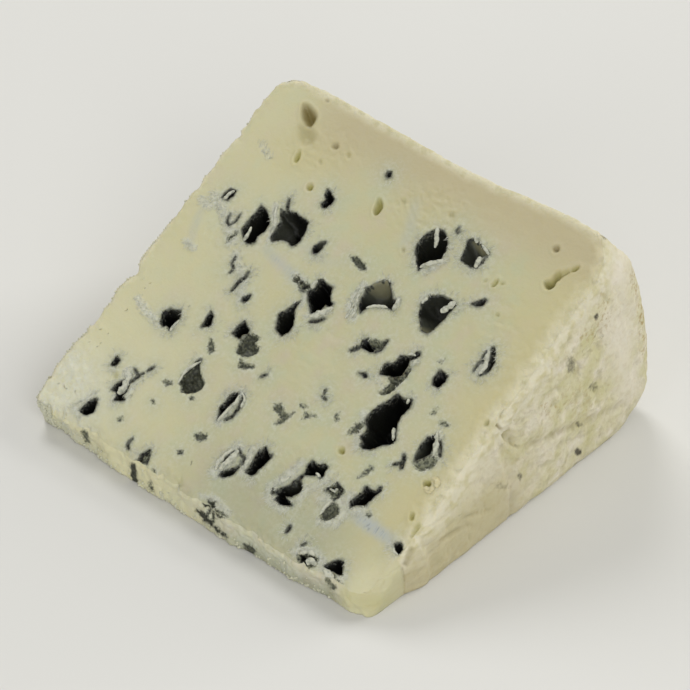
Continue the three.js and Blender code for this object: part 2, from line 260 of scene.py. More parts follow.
cracks = dict(  # narrow dark slits: width at the middle of the path
    twinSpike=dict(path=[(289, 199), (288, 205), (287, 212)], wide=0.5, deep=2.5),
    branchBit=dict(path=[(302, 282), (304, 286), (303, 291)], wide=0.5, deep=1.2),
    branchArm=dict(path=[(304, 286), (310, 287)], wide=0.35, deep=0.9),
    olivePath=dict(path=[(249, 272), (245, 278), (238, 283), (232, 291)], wide=0.5, deep=1.0),
    hairPath=dict(path=[(236, 257), (232, 264), (234, 269), (230, 273)], wide=0.3, deep=0.7),
    ringPath=dict(path=[(231, 214), (227, 222), (230, 226), (236, 222), (241, 214)], wide=0.3, deep=0.6),
    ribSlit=dict(path=[(493.5, 348), (493, 356), (492, 363), (489, 369), (485, 373.5)], wide=0.85, deep=4),
    ribHook=dict(path=[(486, 373), (480, 375.5)], wide=0.35, deep=0.9),
    ribUpper=dict(path=[(487, 352), (483, 357), (482.5, 363)], wide=0.26, deep=0.7),
    ribOuter=dict(path=[(480, 362), (476.5, 367), (474, 371)], wide=0.3, deep=0.5),
    flapLine=dict(path=[(440, 441), (440.5, 449), (440, 457)], wide=0.5, deep=2.2),
    fork=dict(path=[(403.7, 455), (404.5, 459), (402.8, 463.5), (401, 468.5)], wide=0.6, deep=2.2),
    forkArm=dict(path=[(393.5, 464.5), (401, 463.5)], wide=0.4, deep=1.2),
    lensSide=dict(path=[(243.7, 396), (241.3, 403), (237.6, 410.5), (232, 417), (225, 420)], wide=0.55,
        deep=2.5),
    lensTop=dict(path=[(234, 452), (231, 455), (227, 459), (222, 460.5)], wide=0.7, deep=2.5),
    lensRight=dict(path=[(239.5, 449.5), (241, 455), (244.5, 458), (242, 465.5)], wide=0.4, deep=1.6),
    blotLink=dict(path=[(305, 475), (300, 479), (292, 485)], wide=0.7, deep=3.0),
    blotTeeth=dict(path=[(273.5, 489.5), (273.5, 494.5)], wide=0.3, deep=0.8),
    ringLeft=dict(path=[(326, 490.5), (332, 488.3), (337.5, 486)], wide=0.5, deep=1.4),
    ringRight=dict(path=[(337, 484), (341, 490), (338, 496.5), (334.5, 500)], wide=0.55, deep=1.5),
    frontSlit=dict(path=[(290.5, 526), (289, 529), (286.5, 532.5)], wide=0.6, deep=1.5),
    frontNick=dict(path=[(306, 543.3), (301.5, 545.7)], wide=0.5, deep=1.0),
    frontArc=dict(path=[(311, 556), (315, 560), (313.5, 565)], wide=0.35, deep=1.0),
    veeLeft=dict(path=[(130, 383), (135.5, 379.3), (139.5, 375.5), (143.5, 373.5)], wide=0.5, deep=1.6),
    veeRight=dict(path=[(134.7, 369), (136.5, 372.5), (139.3, 375.5)], wide=0.4, deep=1.3),
    veeFar=dict(path=[(148, 371), (154.5, 367)], wide=0.5, deep=1.2),
    hook=dict(path=[(133, 439), (129.5, 441.5), (128, 445), (128.6, 450)], wide=0.4, deep=1.0),
    noseRib=dict(path=[(150, 451), (146, 453), (141, 456.5), (138.5, 461.5), (132, 466)], wide=0.5,
        deep=1.8),
    noseRibInner=dict(path=[(150, 455), (147, 461), (144, 465)], wide=0.45, deep=1.4),
    wingEdge=dict(path=[(375, 352.5), (380, 350.5), (384, 345.5), (387, 341)], wide=0.5, deep=1.4),
    slitTail=dict(path=[(351, 350.3), (355, 350.2), (360, 347)], wide=0.45, deep=1.2),
    oliveDash=dict(path=[(326, 389.5), (324.5, 394)], wide=0.45, deep=0.9),
    oliveTick=dict(path=[(322, 396), (326, 399.5)], wide=0.3, deep=0.6),
    starShade=dict(path=[(310, 322), (317, 321.5), (324, 319)], wide=0.4, deep=0.9),
    upperDash=dict(path=[(267, 374.8), (261, 376.7)], wide=0.5, deep=0.9),
    tailRidge=dict(path=[(195, 366), (201, 360)], wide=0.6, deep=1.5),
    wellLip=dict(path=[(475, 268), (481, 264), (487, 257)], wide=0.3, deep=0.8),
    tinyRing=dict(path=[(459.5, 228), (456.5, 231), (457.5, 234), (460.5, 232)], wide=0.22, deep=0.6),
)

blooms = dict(  # grey-green mould in shallow beds; dark: 0 pale grey, 1 near black
    tear=dict(deep=1.6, dark=0.75, rim=[(199, 362), (198.5, 364), (199.5, 370), (202, 377), (204, 383),
        (201, 389), (196.5, 391.5), (187, 393.5), (181, 391), (181.5, 387), (179, 382.5), (181.5, 377),
        (187, 371), (194.5, 365.5)]),
    tearHeart=dict(deep=2.4, dark=0.95, rim=[(194, 375), (197, 375), (196, 378.5), (193, 379)]),
    tearFringe=dict(deep=0.6, dark=0.45, rim=[(163, 380.5), (168, 381), (173, 382), (172, 385),
        (166.5, 386)]),
    blotPatch=dict(deep=1.2, dark=0.65, rim=[(236.5, 348), (240.5, 342.5), (242.5, 336.5), (250.5, 334),
        (255.5, 335), (259, 338.5), (254.5, 342), (256, 346), (260, 348), (255.5, 353.5), (248, 356.5),
        (241.5, 355.5), (236, 352.5)]),
    blotSmear=dict(deep=0.7, dark=0.6, rim=[(241, 358), (239.5, 363), (238, 368), (245, 369), (253.5, 368),
        (254.5, 364.5), (248.5, 364), (243, 362)]),
    speckles=dict(deep=0.5, dark=0.4, rim=[(210.5, 338.5), (213, 343), (214.5, 351), (209.5, 354),
        (207.5, 349), (209, 343)]),
    wing=dict(deep=1.2, dark=0.4, rim=[(368, 338.5), (374, 339), (382, 341.5), (389, 340), (385, 344.5),
        (382, 348), (377, 351.5), (374, 348), (369, 344)]),
    slitTailBed=dict(deep=0.6, dark=0.4, rim=[(350, 350), (353, 347), (358, 345), (361, 347), (358, 350),
        (353, 352)]),
    longTail=dict(deep=2.0, dark=0.45, rim=[(389.5, 375.5), (396, 376), (403, 375), (408, 369),
        (411.5, 367), (409, 372), (406.5, 376.5), (399, 383), (394.5, 389.5), (388, 394), (380.5, 394.5),
        (380, 391.5), (386, 386), (389.5, 382.5), (388.5, 378.5)]),
    cleftTail=dict(deep=1.0, dark=0.4, rim=[(347.5, 433.5), (349.5, 430), (356, 423.5), (362.5, 422.5),
        (365, 424), (361.5, 428), (358, 432.5), (351.5, 433.5)]),
    hollowPatch=dict(deep=0.9, dark=0.1, rim=[(413, 462.5), (423.5, 459), (431.5, 456), (437.5, 458),
        (436, 464.5), (430, 469), (421, 471), (415, 468)]),
    lobedRing=dict(deep=0.7, dark=0.4, rim=[(274.5, 404.7), (280.3, 404.2), (283, 407.5), (282, 411),
        (286, 413.5), (290, 414), (293.5, 412.5), (290, 416), (286, 419), (283, 423), (274.5, 424.5),
        (281, 419), (279, 414), (274.5, 410.5)]),
    sparrow=dict(deep=0.4, dark=0.35, rim=[(305.5, 413), (311, 414.5), (317, 416.5), (309, 417),
        (302.5, 419), (304, 416)]),
    paleDash=dict(deep=0.4, dark=0.35, rim=[(300, 404.5), (303, 405), (307, 407), (303, 408)]),
    specks=dict(deep=0.4, dark=0.3, rim=[(338.5, 412), (338.5, 420), (334, 421), (335, 415)]),
    oval=dict(deep=1.0, dark=0.55, rim=[(332.7, 502.3), (337.3, 505), (340, 510.5), (337.3, 514.5),
        (331.7, 519), (325, 522), (320.5, 519), (321, 514.5), (325, 509), (329, 505)]),
    ringBed=dict(deep=0.5, dark=0.3, rim=[(326, 489), (333, 486), (338, 483), (344, 492), (340, 498),
        (334, 501), (331, 496), (328, 493)]),
    inkDot=dict(deep=0.9, dark=0.8, rim=[(177, 450.5), (180, 449.5), (182.5, 451.5), (180.5, 454.5),
        (177, 454)]),
    nibbled=dict(deep=0.6, dark=0.5, rim=[(194.5, 434), (199, 433), (206.5, 434.5), (206, 439.5),
        (200, 441), (195, 438.5)]),
    leftFleck=dict(deep=0.5, dark=0.5, rim=[(118.5, 418.5), (122, 417), (122.5, 420), (117.5, 422)]),
    midFleck=dict(deep=0.4, dark=0.45, rim=[(151.5, 400.5), (154, 401), (153.5, 404.5), (151.5, 403.5)]),
    lowFleck=dict(deep=0.4, dark=0.4, rim=[(189, 397), (193, 396.5), (193.5, 399), (190, 399.5)]),
    blueHeart=dict(deep=0.6, dark=0.55, rim=[(293, 276), (299, 275.5), (301, 280), (297, 283),
        (293, 281)]),
    oliveSmear=dict(deep=0.4, dark=0.3, rim=[(236, 231), (238, 233), (231, 241), (227, 243), (228, 238)]),
    leadSmear=dict(deep=0.6, dark=0.65, rim=[(350, 256), (356, 257), (365, 264), (366, 271), (360, 270),
        (353, 262)]),
    twinFoot=dict(deep=0.4, dark=0.45, rim=[(247, 240), (256, 241), (255, 244), (248, 245)]),
    starBed=dict(deep=0.4, dark=0.3, rim=[(298, 283), (306, 283), (312, 287), (304, 293), (299, 290)]),
    greyDash=dict(deep=0.3, dark=0.3, rim=[(431, 414), (434, 410), (437, 408.5), (435, 413),
        (432, 415.5)]),
    paleSmear=dict(deep=0.2, dark=0.22, rim=[(440, 421), (445, 422), (449, 425.5), (443, 427),
        (440, 425)]),
    oakSmear=dict(deep=0.3, dark=0.35, rim=[(438, 362), (441, 360), (444, 359.5), (441, 363)]),
    dashAboveHole=dict(deep=0.3, dark=0.35, rim=[(367, 514), (370, 512), (371, 516), (368, 517.5)]),
    driftSmear=dict(deep=0.4, dark=0.35, rim=[(370, 466), (373, 468), (368, 473), (360, 477), (357, 478),
        (364, 472)]),
    noseKnot=dict(deep=0.9, dark=0.7, rim=[(205, 501), (210, 500), (215, 502), (214, 508), (209, 509),
        (206, 505)]),
    noseStripes=dict(deep=0.5, dark=0.5, rim=[(212, 508), (217, 511), (225, 515), (226, 518), (219, 516),
        (213, 513)]),
    ribBed=dict(deep=0.7, dark=0.25, rim=[(147, 450), (150, 451), (149, 456), (146, 461), (142, 466),
        (138, 465), (141, 458), (144, 453)]),
    ribTail=dict(deep=0.6, dark=0.7, rim=[(136, 463), (138, 466), (136, 472), (134, 478), (130, 471),
        (132, 466)]),
    arcBed=dict(deep=0.4, dark=0.35, rim=[(78, 431), (84, 430.5), (88, 437), (87, 441), (83, 436)]),
    clusterBed=dict(deep=0.4, dark=0.25, rim=[(296, 554), (312, 554), (320, 559), (314, 568), (303, 570),
        (296, 562)]),
    frontSmear=dict(deep=0.4, dark=0.3, rim=[(326, 577), (331, 577), (335, 587), (330, 586)]),
    noseOlive=dict(deep=0.4, dark=0.35, rim=[(241, 545), (250, 547), (256, 552), (250, 552), (243, 549)]),
    edgeKnot=dict(deep=0.3, dark=0.4, rim=[(151, 470), (154, 471), (153, 476), (150, 474)]),
)

dents = dict(  # yellow to brown dips: strong 0 to 1, brown 1 or olive yellow 0, soft widens the slope
    corner=dict(rim=[(303.5, 103), (309, 105), (315, 111), (317.5, 117), (315, 123), (311, 128),
        (306, 127), (302.5, 121), (301, 113.5), (302, 107)], deep=1.3, strong=0.9, brown=0.75, soft=2.2),
    cornerFoot=dict(rim=[(297, 123), (312, 126), (318, 135), (315, 145), (303, 148), (296, 141)], deep=0.6,
        strong=0.28, brown=0.5, soft=2.8),
    cornerTail=dict(rim=[(300.7, 149), (300.7, 156.5), (298, 162), (295, 163.5), (294, 160), (298, 153.5)],
        deep=0.8, strong=0.95, brown=0.0),
    pea=dict(rim=[(309, 183), (313, 184), (313, 189), (309, 191.5), (306, 189)], deep=0.7, strong=0.85,
        brown=0.0),
    peach=dict(rim=[(334, 142), (339, 143), (339, 149), (334, 150), (331, 146)], deep=0.5, strong=0.4,
        brown=0.9),
    faintPea=dict(rim=[(319, 158), (323, 160), (322, 165), (319, 164)], deep=0.4, strong=0.35, brown=0.2),
    sideDash=dict(rim=[(346, 153), (350, 152), (351, 157), (348, 159)], deep=0.4, strong=0.4, brown=0.3),
    topDash=dict(rim=[(325, 100), (330, 99), (329, 103), (326, 102)], deep=0.3, strong=0.45, brown=0.8),
    goldDimple=dict(rim=[(379, 196), (384, 205), (381, 211), (376, 216), (373, 213), (376, 205)], deep=1.0,
        strong=0.85, brown=0.1),
    faintRight=dict(rim=[(402, 198), (406, 199), (406, 206), (402, 206)], deep=0.4, strong=0.25,
        brown=0.3),
    faintFar=dict(rim=[(449, 212), (455, 212), (454, 218), (449, 217)], deep=0.4, strong=0.25, brown=0.4),
    roundGold=dict(rim=[(340, 447), (344, 447), (345, 451), (343, 454.5), (339.5, 454), (338, 450)],
        deep=0.8, strong=0.8, brown=0.0),
    crumbDent=dict(rim=[(423, 481), (430, 480), (432, 485), (428, 488), (424, 487)], deep=1.0, strong=0.9,
        brown=0.1),
    nearDash=dict(rim=[(411.5, 511.5), (415, 514), (413.5, 522), (409.5, 521)], deep=0.9, strong=0.9,
        brown=0.1),
    nearGold=dict(rim=[(418, 522), (424, 524), (420, 536), (411, 540), (412, 532)], deep=0.3, strong=0.5,
        brown=0.1),
    nearGoldLow=dict(rim=[(407, 547), (412, 548), (409, 562), (404, 567)], deep=0.4, strong=0.75,
        brown=0.1),
    oliveNick=dict(rim=[(497.7, 278.5), (499, 282), (494, 287), (491, 287), (494, 282)], deep=0.7,
        strong=0.9, brown=0.1),
    oliveArm=dict(rim=[(500, 283), (505, 281.5), (505, 285), (500, 285.5)], deep=0.4, strong=0.45,
        brown=0.2),
    oliveDot=dict(rim=[(483.5, 281), (487.5, 278.5), (486.5, 282), (484, 283)], deep=0.4, strong=0.45,
        brown=0.2),
    rightDot=dict(rim=[(496, 313), (499, 313.5), (499, 317), (496.5, 317)], deep=0.5, strong=0.7,
        brown=0.2),
    rightRing=dict(rim=[(486, 420), (489, 420), (490, 425), (486, 427.5), (484, 425)], deep=0.6,
        strong=0.6, brown=0.2),
    honeyDot=dict(rim=[(553, 246), (559, 245), (560, 250), (556, 253), (553, 251)], deep=0.6, strong=0.6,
        brown=0.8),
    pipeBowl=dict(rim=[(543.5, 282), (544.5, 288), (549, 290), (553.5, 287), (556.5, 281), (561, 277.5),
        (561, 270), (556, 272), (551, 280), (546, 280)], deep=1.3, strong=0.7, brown=0.2),
    pipeNeck=dict(rim=[(555, 277), (562, 270), (570, 269), (573, 272), (564, 276), (558, 282)], deep=0.6,
        strong=0.45, brown=0.2),
    pipeStem=dict(rim=[(569.5, 271), (573, 267.5), (580, 265), (579, 269), (573.5, 272)], deep=1.0,
        strong=0.95, brown=0.1),
    leftGold=dict(rim=[(61, 413.5), (65, 414), (64, 416.5), (61, 416)], deep=0.4, strong=0.6, brown=0.2),
    tongueGold=dict(rim=[(112, 371), (119, 372), (119, 379), (113, 380)], deep=0.3, strong=0.3, brown=0.1),
    scratchDot=dict(rim=[(303, 508), (305, 507.5), (304, 510.5)], deep=0.4, strong=0.6, brown=0.2),
    honeyFleck=dict(rim=[(402, 248), (405, 248), (404.5, 253), (402, 252)], deep=0.4, strong=0.6,
        brown=0.8),
)

tracks = dict(  # bluish lines left by the piercing needles, with fine scratches across them
    upper=dict(path=[(262, 246), (285, 268), (308, 290)], wide=3.2, strong=0.55),
    lower=dict(path=[(352, 513), (374, 528), (397, 546)], wide=3.4, strong=1.0),
    side=dict(path=[(205, 203), (196, 222), (188, 250)], wide=2.4, strong=0.35),
    middle=dict(path=[(243, 278), (240, 290), (247, 300)], wide=2.4, strong=0.4),
    crossing=dict(path=[(296, 240), (325, 262), (352, 262)], wide=3.0, strong=0.25),
    veil=dict(path=[(418, 196), (411, 225), (403, 250)], wide=3.4, strong=0.35),
)

facePatches = dict(  # in frame pixels. ripple: where the blade stuck; gold: riper, yellower paste
    upper=dict(at=(425, 210), size=(54, 30), ripple=1.0, gold=0.4),
    corner=dict(at=(320, 152), size=(60, 36), ripple=0.5, gold=0.75),
    twins=dict(at=(225, 220), size=(24, 44), ripple=0.6),
    right=dict(at=(500, 330), size=(34, 44), ripple=0.5),
    blots=dict(at=(290, 480), size=(56, 44), ripple=0.5),
    middle=dict(at=(330, 380), size=(60, 60), ripple=0.25),
    nearEdge=dict(at=(482, 440), size=(24, 34), gold=0.6),
)

fringes = dict(  # white, furred curd beside the cavities
    twinRidge=dict(path=[(276, 205), (274, 212), (275, 222), (272, 232), (269, 242)], wide=1.7, strong=0.8),
    twinFar=dict(path=[(214, 196), (222, 208), (230, 226), (232, 240)], wide=3.6, strong=0.6),
    oliveSide=dict(path=[(236, 254), (240, 270), (246, 282), (240, 300)], wide=2.6, strong=0.6),
    beanSide=dict(path=[(364, 286), (355, 296), (350, 306), (352, 318)], wide=2.6, strong=0.8),
    starSide=dict(path=[(296, 276), (306, 286), (305, 298), (301, 306)], wide=2.0, strong=0.7),
    starFoot=dict(path=[(306, 316), (318, 318), (330, 312)], wide=1.6, strong=0.6),
    wellFoot=dict(path=[(414, 262), (422, 272), (434, 268), (444, 260)], wide=1.5, strong=0.7),
    ledgeSide=dict(path=[(484, 262), (478, 268), (470, 270)], wide=1.4, strong=0.6),
    kiteSide=dict(path=[(420, 302), (424, 296), (432, 294)], wide=1.4, strong=0.6),
    tailSide=dict(path=[(378, 378), (384, 390), (398, 388)], wide=1.4, strong=0.5),
    cleftSide=dict(path=[(364, 412), (362, 424), (358, 436), (356, 446)], wide=2.0, strong=0.6),
    ribBody=dict(path=[(490, 350), (486, 362), (480, 372)], wide=2.4, strong=0.9),
    tongueBody=dict(path=[(127, 370), (124, 384), (119, 394), (113, 402)], wide=2.6, strong=0.9),
    tongueRight=dict(path=[(136, 378), (133, 388), (127, 398)], wide=1.8, strong=0.6),
    leftBody=dict(path=[(96, 394), (86, 401), (74, 407), (80, 416)], wide=2.2, strong=0.9),
    lensBody=dict(path=[(238, 448), (228, 460), (216, 472)], wide=4.2, strong=0.9),
    lensRidge=dict(path=[(252, 450), (248, 460), (242, 472)], wide=2.4, strong=0.8),
    ribbonBody=dict(path=[(242, 392), (230, 408), (218, 422)], wide=2.6, strong=0.8),
    blotRing=dict(path=[(302, 464), (288, 476), (272, 486), (270, 498), (284, 508)], wide=3.0, strong=0.7),
    blotRight=dict(path=[(328, 474), (322, 484), (306, 490), (300, 500)], wide=2.4, strong=0.6),
    ovalRing=dict(path=[(322, 500), (342, 500), (346, 514), (336, 524), (320, 522)], wide=2.6, strong=0.6),
    spikeSide=dict(path=[(352, 494), (348, 504), (350, 512), (364, 510)], wide=2.4, strong=0.7),
    clusterRing=dict(path=[(294, 552), (312, 552), (322, 562), (318, 574)], wide=3.0, strong=0.8),
    frontRing=dict(path=[(322, 566), (324, 576), (334, 584), (344, 578)], wide=2.4, strong=0.8),
    dotRing=dict(path=[(392, 544), (396, 558), (404, 558)], wide=1.4, strong=0.6),
    hollowSide=dict(path=[(440, 432), (440, 446), (438, 458), (424, 470)], wide=1.8, strong=0.6),
    noseCurd=dict(path=[(200, 496), (214, 500), (226, 512)], wide=2.6, strong=0.6),
    farSmudge=dict(path=[(202, 200), (209, 206)], wide=2.8, strong=0.5),
    farSmudgeLow=dict(path=[(186, 241), (194, 248)], wide=2.4, strong=0.5),
    farLeftSide=dict(path=[(138, 299), (147, 312), (157, 323)], wide=2.6, strong=0.65),
    topSmudge=dict(path=[(262, 145), (269, 157)], wide=2.8, strong=0.35),
)


def closestOn(points, a, b):
    # distance to the straight piece from a to b, and how far along it the closest place is, 0 to 1
    toPoint, edge = points - a, b - a
    share = np.clip(toPoint @ edge / (edge @ edge), 0, 1)
    return np.linalg.norm(toPoint - share[..., None] * edge, axis=-1), share


def rimDistance(points, rim):
    # distance to the closest edge of a closed outline, negative inside it
    corners = seenOnFace(rim)
    ends = np.roll(corners, -1, 0)
    nearest = np.full(points.shape[:-1], 1e9)
    inside = np.zeros(points.shape[:-1], bool)
    for a, b in zip(corners, ends):
        nearest = np.minimum(nearest, closestOn(points, a, b)[0])
        crosses = (a[1] > points[..., 1]) != (b[1] > points[..., 1])
        rise = b[1] - a[1] if b[1] != a[1] else 1e-9
        inside ^= crosses & (points[..., 0] < a[0] + (points[..., 1] - a[1]) / rise * (b - a)[0])
    return np.where(inside, -nearest, nearest)


def rounded(rim):
    # an outline with its corners cut twice, each time at a quarter of both edges
    rim = np.asarray(rim, float)
    for _ in range(2):
        after = np.roll(rim, -1, 0)
        rim = np.stack([0.75 * rim + 0.25 * after, 0.25 * rim + 0.75 * after], 1).reshape(-1, 2)
    return rim


def pathDistance(points, path, onPlane=True):
    # distance to a path of straight pieces, and how far along it, 0 to 1
    stops = seenOnFace(path) if onPlane else np.asarray(path, float)
    steps = np.linalg.norm(np.diff(stops, axis=0), axis=1)
    before = np.concatenate([[0], np.cumsum(steps)]) / steps.sum()
    nearest = np.full(points.shape[:-1], 1e9)
    along = np.zeros(points.shape[:-1])
    for i, (a, b) in enumerate(zip(stops[:-1], stops[1:])):
        gap, share = closestOn(points, a, b)
        closer = gap < nearest
        nearest = np.where(closer, gap, nearest)
        along = np.where(closer, before[i] + share * (before[i + 1] - before[i]), along)
    return nearest, along


# the wedge: a grid over the cut face, a wall swept round the axis, and a flat foot
grid = dict(
    outCells=250,
    acrossCells=256,
    wallRows=42,
    rowCrowding=1.35,  # rows crowd towards the cut face
    edgeMargin=16,  # cells next to the edge that its rounding may reach
)

outline = dict(  # rounded corners of the cut face, as (out, across) radii
    nearNose=(3.0, 3.0),
    nearRim=(13.0, 7.0),
    farRim=(5.2, 5.2),
    farNose=(2.0, 1.6),
    fillet=dict(nose=2.4, near=2.4, far=1.1, rim=0.8, front=1.8),  # how round the cut edge is
    bites=dict(near=(0.5, 3.5), far=(0.42, 0.9), rim=(0.16, 1.1), nose=(0.9, 1.6)),  # depth and spacing
    wander=dict(  # the waves of each edge: their sizes and how far each strays
        near=((14, 5), (0.5, 0.16)), far=((17, 4, 1.1), (0.25, 0.12, 0.1)),
        rim=((21, 6, 1.2), (0.2, 0.12, 0.08)), nose=((9, 2.4, 0.9), (0.8, 0.35, 0.2))),
    foot=dict(plain=0.7, nearRim=2.6),  # roundness at the board
    cornerSwell=3.4,  # how far the near rim corner stands out below the cut
    rimStray=dict(across=(-36, -30, -22, -14, -3, 15, 27, 36),
                  by=(0.2, 0.4, -0.3, -1.1, -1.4, -0.6, 0.0, 0.2)),
    farStray=dict(out=(13, 18, 25, 33, 43, 47, 52, 60, 100),
                  by=(0.1, 0.6, 0.9, 0.3, 0.0, -0.8, 0.0, 0.2, 0.1)),
    noseFoot=dict(across=(-41, -34, -24, -14, -10, -4, 3, 9, 16, 27, 35, 42),  # how far it stands out
                  by=(-0.6, 0.2, 0.3, 0.5, 1.2, 1.2, 0.6, 1.1, 1.0, 0.5, 0.0, -0.7)),
)

relief = dict(  # heights in mm
    knifeDrag=0.15,
    dragMarks=0.13,
    ripple=0.5,  # fine ridges where the blade stuck
    rindLumps=0.5,
    rindGrain=0.17,
    noseCrumble=0.6,
    noseGrain=0.34,
    edgeLumps=0.5,
    edgeGrain=0.3,
    ragged=0.22,  # how far mould rims stray from their outlines
    rimCurl=0.16,  # the lip round each cavity
    dentCurl=0.2,
    cornerLumps=0.5,  # of the crumbled far corner
    seamStep=0.35,  # how far the near rind's foot stands out
)

oddCorners = dict(  # corners of the cut face, as (out, across), and how far each one's look reaches
    far=dict(at=(16, 42), reach=(17, 5)),  # ragged white curd
    farBelow=dict(at=(14, 42), reach=(17, 4)),
    nearRim=dict(at=(98, -43), reach=9),  # smooth rind
)
halos = dict(mould=(0.75, 2.0), bed=(0.7, 1.8))  # grey round the mould: how strong, how far in mm
bands = dict(  # broad bands of colour: where each one starts and is full, out or across
    rim=dict(out=(84, 96), across=(42, 20)),
    near=dict(across=(-28, -42)),
    # far: cream that is also painted light, paler towards the far side
    far=dict(out=(60, 15), across=(0, 40)),
    nose=dict(out=(34, 20), across=(12, -6), back=(-42, -34), strong=0.4),
    front=dict(out=(29, 17), across=(-32, -41)),  # the pale front corner
)

pressed = dict(  # planes that the front corner is pushed back to; upTo: where along X the push ends
    corner=dict(at=(-42.7, -43.0, 0.0), facing=(-0.74, -0.58, 0.4), soft=4.6, upTo=90.0, fade=1.0),
    side=dict(at=(-36.0, -43.9, 0.0), facing=(0.0, -1.0, -0.14), soft=1.6, upTo=-27.0, fade=7.0),
)
creaseOut = 23.6  # the fold of the near flat rind, out from the axis; the corner before it is paste
nearAcross = -41.5  # the near flat rind lies beyond this, across
tipOut = 15.5  # the wall is bare paste wherever it is closer to the axis than this


def evenly(points, count):
    # count + 1 points at equal steps along a polyline
    steps = np.linalg.norm(np.diff(points, axis=0), axis=1)
    reach = np.concatenate([[0], np.cumsum(steps)])
    wanted = np.linspace(0, reach[-1], count + 1)
    return np.stack([np.interp(wanted, reach, points[:, k]) for k in (0, 1)], 1)


def cornerArc(radii, outSign, acrossSign, start, stop):
    # quarter ellipse: centre + (outRadius * sin t, acrossRadius * cos t), t in degrees
    a, b = radii
    t = np.radians(np.linspace(start, stop, 24))
    rimOut = wheel["radius"] if outSign > 0 else wheel["nose"]
    return np.stack([rimOut - outSign * a * (1 - np.sin(t)), acrossSign * (half - b * (1 - np.cos(t)))], 1)


def faceOutline():
    # four sides, each from the middle of one corner arc to the middle of the next; the rim swells by
    # swell * (1 - (across / half)^2)
    y = np.linspace(-half + outline["nearRim"][1], half - outline["farRim"][1], 60)
    swollen = np.stack([wheel["radius"] + wheel["swell"] * (1 - (y / half) ** 2), y], 1)
    near = evenly(np.vstack([
        cornerArc(outline["nearNose"], -1, -1, 45, 0),
        cornerArc(outline["nearRim"], 1, -1, 0, 55),
    ]), grid["outCells"])
    far = evenly(np.vstack([
        cornerArc(outline["farNose"], -1, 1, 45, 0),
        cornerArc(outline["farRim"], 1, 1, 0, 45),
    ]), grid["outCells"])
    rim = evenly(np.vstack([
        cornerArc(outline["nearRim"], 1, -1, 55, 90),
        swollen,
        cornerArc(outline["farRim"], 1, 1, 90, 45),
    ]), grid["acrossCells"])
    nose = evenly(np.vstack([
        cornerArc(outline["nearNose"], -1, -1, 45, 90),
        cornerArc(outline["farNose"], -1, 1, 90, 45),
    ]), grid["acrossCells"])
    rim[0], rim[-1] = near[-1], far[-1]
    nose[0], nose[-1] = near[0], far[0]
    return dict(near=near, far=far, rim=rim, nose=nose)


def strayed(side, sizes, amounts, seed):
    # moves an edge by noise along it, so that the cut isn't ruled
    spots = np.column_stack([side, np.full(len(side), float(seed))])
    for size, amount in zip(sizes, amounts):
        side = side + amount * np.stack([clouds(spots, size, s) for s in (seed, seed + 7)], 1)
    return side


def nibbled(side, bite, seed):
    # small bites out of an edge: inward by up to the bite's depth where noise along the edge is high
    depth, size = bite
    spots = np.column_stack([side, np.full(len(side), float(seed))])
    along = np.gradient(side, axis=0)
    inward = np.stack([-along[:, 1], along[:, 0]], 1) / np.linalg.norm(along, axis=1)[:, None]
    middle = np.array([0.5 * (wheel["radius"] + wheel["nose"]), 0.0])
    inward *= np.sign(((middle - side) * inward).sum(1))[:, None]
    return side + depth * smooth(0.15, 0.6, clouds(spots, size, seed, 2))[:, None] * inward


def coonsPatch(near, far, nose, rim):
    # blend of the four sides less the blend of the four corners
    u = np.linspace(0, 1, len(near))[:, None, None]
    v = np.linspace(0, 1, len(nose))[None, :, None]
    ruled = (1 - v) * near[:, None] + v * far[:, None] + (1 - u) * nose[None] + u * rim[None]
    corners = (1 - u) * (1 - v) * near[0] + u * (1 - v) * near[-1] + (1 - u) * v * far[0] + u * v * far[-1]
    return ruled - corners


def loopOf(patch):
    # round the patch's edge, near side first, counterclockwise from above
    return np.concatenate([patch[:-1, 0], patch[-1, :-1], patch[:0:-1, -1], patch[0, :0:-1]])


def litWalls(points, entry):
    # painted light on a cavity's walls: grey most on the side that faces the light, rest on the other
    rim = np.asarray(entry["rim"], float)
    centre = rim.mean(0)
    middle = seenOnFace(centre)[0]
    toward = seenOnFace(centre + 8 * np.asarray(entry.get("lit", (0, 1)), float))[0] - middle
    toward /= np.linalg.norm(toward)
    side = ((points - middle) @ toward) / (0.5 * np.ptp(seenOnFace(rim) @ toward))
    shaded = entry.get("rest", 0) * smooth(0.5, -0.9, side)
    return np.maximum(entry["grey"] * smooth(-0.6, 0.9, side), shaded)


def hollows(points):
    # ragged distance, depth and grey of each cavity and crack in turn. A cavity's depth is
    # deep * (1 - (1 - inward / wall)^2), a crack's falls straight over 0.4 of its width
    spots = np.dstack([points, np.zeros(points.shape[:-1])])
    wobble = relief["ragged"] * (clouds(spots, 1.7, 11, 2) + 0.6 * clouds(spots, 0.7, 12))
    for entry in cavities.values():
        gap = rimDistance(points, entry["rim"]) + wobble * entry.get("fray", 1.0)
        wall = entry.get("wall", 0.7 + 0.1 * entry["deep"])
        inward = np.clip(np.clip(-gap, 0, None) / wall, 0, 1)
        yield gap, entry["deep"] * (1 - (1 - inward) ** 2), litWalls(points, entry)
    for entry in cracks.values():
        gap, along = pathDistance(points, entry["path"])
        gap = gap - 0.5 * entry["wide"] * (0.45 + 0.55 * np.sin(math.pi * along) ** 0.5) + 0.5 * wobble
        yield gap, entry["deep"] * np.clip(np.clip(-gap, 0, None) / (0.4 * entry["wide"]), 0, 1), 0.25


def mouldField(points):
    # distance to the closest hollow, how deep it is, and the grey of its walls: grey mould with a painted
    # lit side
    closest = np.full(points.shape[:-1], 1e9)
    depth, grey = np.zeros((2, *points.shape[:-1]))
    for gap, well, shade in hollows(points):
        grey = np.where(well > depth, shade, grey)
        depth = np.maximum(depth, well)
        closest = np.minimum(closest, gap)
    return closest, depth, grey


